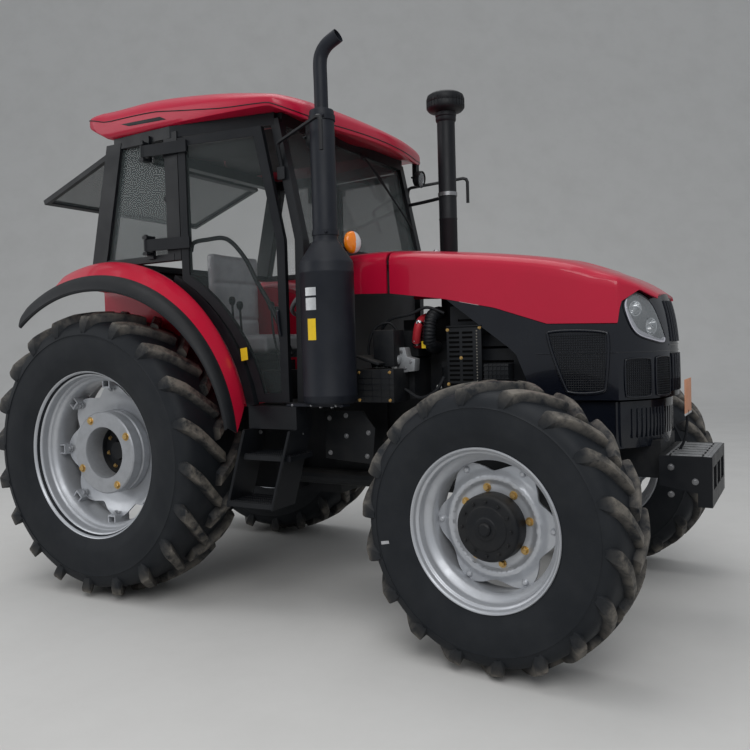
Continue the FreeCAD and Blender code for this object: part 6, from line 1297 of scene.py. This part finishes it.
# Stage, light and camera

def stage_sheet():
    """A pale floor that turns up into a far backdrop."""
    t = np.linspace(0, 1, 24)
    run = np.interp(t, [0, 0.5, 1], [-8, 9, 19])
    rise = np.where(t < 0.5, 0, 20 * ((t - 0.5) / 0.5) ** 2)
    wide = np.linspace(-28, 28, 3)
    along = np.array([-math.sin(math.radians(29)), math.cos(math.radians(29)), 0])
    across = np.array([along[1], -along[0], 0])
    points = run[:, None, None] * along + wide[None, :, None] * across + rise[:, None, None] * [0, 0, 1]
    return grid(points)


floor_mesh = bpy.data.meshes.new("floor")
floor_points, floor_faces = stage_sheet()
floor_mesh.from_pydata(floor_points.tolist(), [], floor_faces.tolist())
floor_mesh.shade_smooth()
floor = bpy.data.objects.new("floor", floor_mesh)
floor.location.z = -0.002
scene.collection.objects.link(floor)
floor_paint = surface("floor_paint", (0.62, 0.61, 0.59), (0.58, 0.57, 0.55), 1.5, rough=0.8, specular=0.2)
floor_mesh.materials.append(floor_paint)

world = bpy.data.worlds.new("sky")
scene.world = world
world.use_nodes = True
world.node_tree.nodes["Background"].inputs["Color"].default_value = (0.86, 0.9, 0.95, 1)
world.node_tree.nodes["Background"].inputs["Strength"].default_value = 0.5


def area_lamp(name, place, target, size, power):
    data = bpy.data.lights.new(name, "AREA")
    data.shape = "RECTANGLE"
    data.size, data.size_y = size
    data.energy = power
    lamp = bpy.data.objects.new(name, data)
    lamp.location = place
    lamp.rotation_euler = (Vector(target) - Vector(place)).to_track_quat("-Z", "Y").to_euler()
    scene.collection.objects.link(lamp)


area_lamp("key", (3.5, -6.0, 6.0), (0, 0, 1.2), (5, 4), 230)
area_lamp("top", (-0.5, 0.0, 7.5), (0, 0, 1.0), (7, 5), 180)
area_lamp("side", (-6.0, -5.0, 4.0), (0, 0, 1.2), (4, 4), 90)


def camera_matrix():
    """Camera axes from its azimuth, elevation and roll, in the order right, up, back."""
    azimuth, elevation, roll = (math.radians(v) for v in (29.19, 2.39, -1.67))
    back = np.array([math.sin(azimuth) * math.cos(elevation), -math.cos(azimuth) * math.cos(elevation), math.sin(elevation)])
    right = np.cross(-back, [0, 0, 1])
    right /= np.linalg.norm(right)
    up = np.cross(right, -back)
    first = math.cos(roll) * right + math.sin(roll) * up
    second = -math.sin(roll) * right + math.cos(roll) * up
    matrix = Matrix.Identity(4)
    for column, axis in enumerate((first, second, back)):
        matrix.col[column][:3] = axis
    matrix.translation = (AX + 3.411, -3.899, 1.338)
    return matrix


camera_data = bpy.data.cameras.new("camera")
camera_data.sensor_width = 36
camera_data.lens = 36 * 790.7 / 750
camera = bpy.data.objects.new("camera", camera_data)
scene.collection.objects.link(camera)
camera.matrix_world = camera_matrix()
scene.camera = camera
scene.view_settings.view_transform = "Standard"
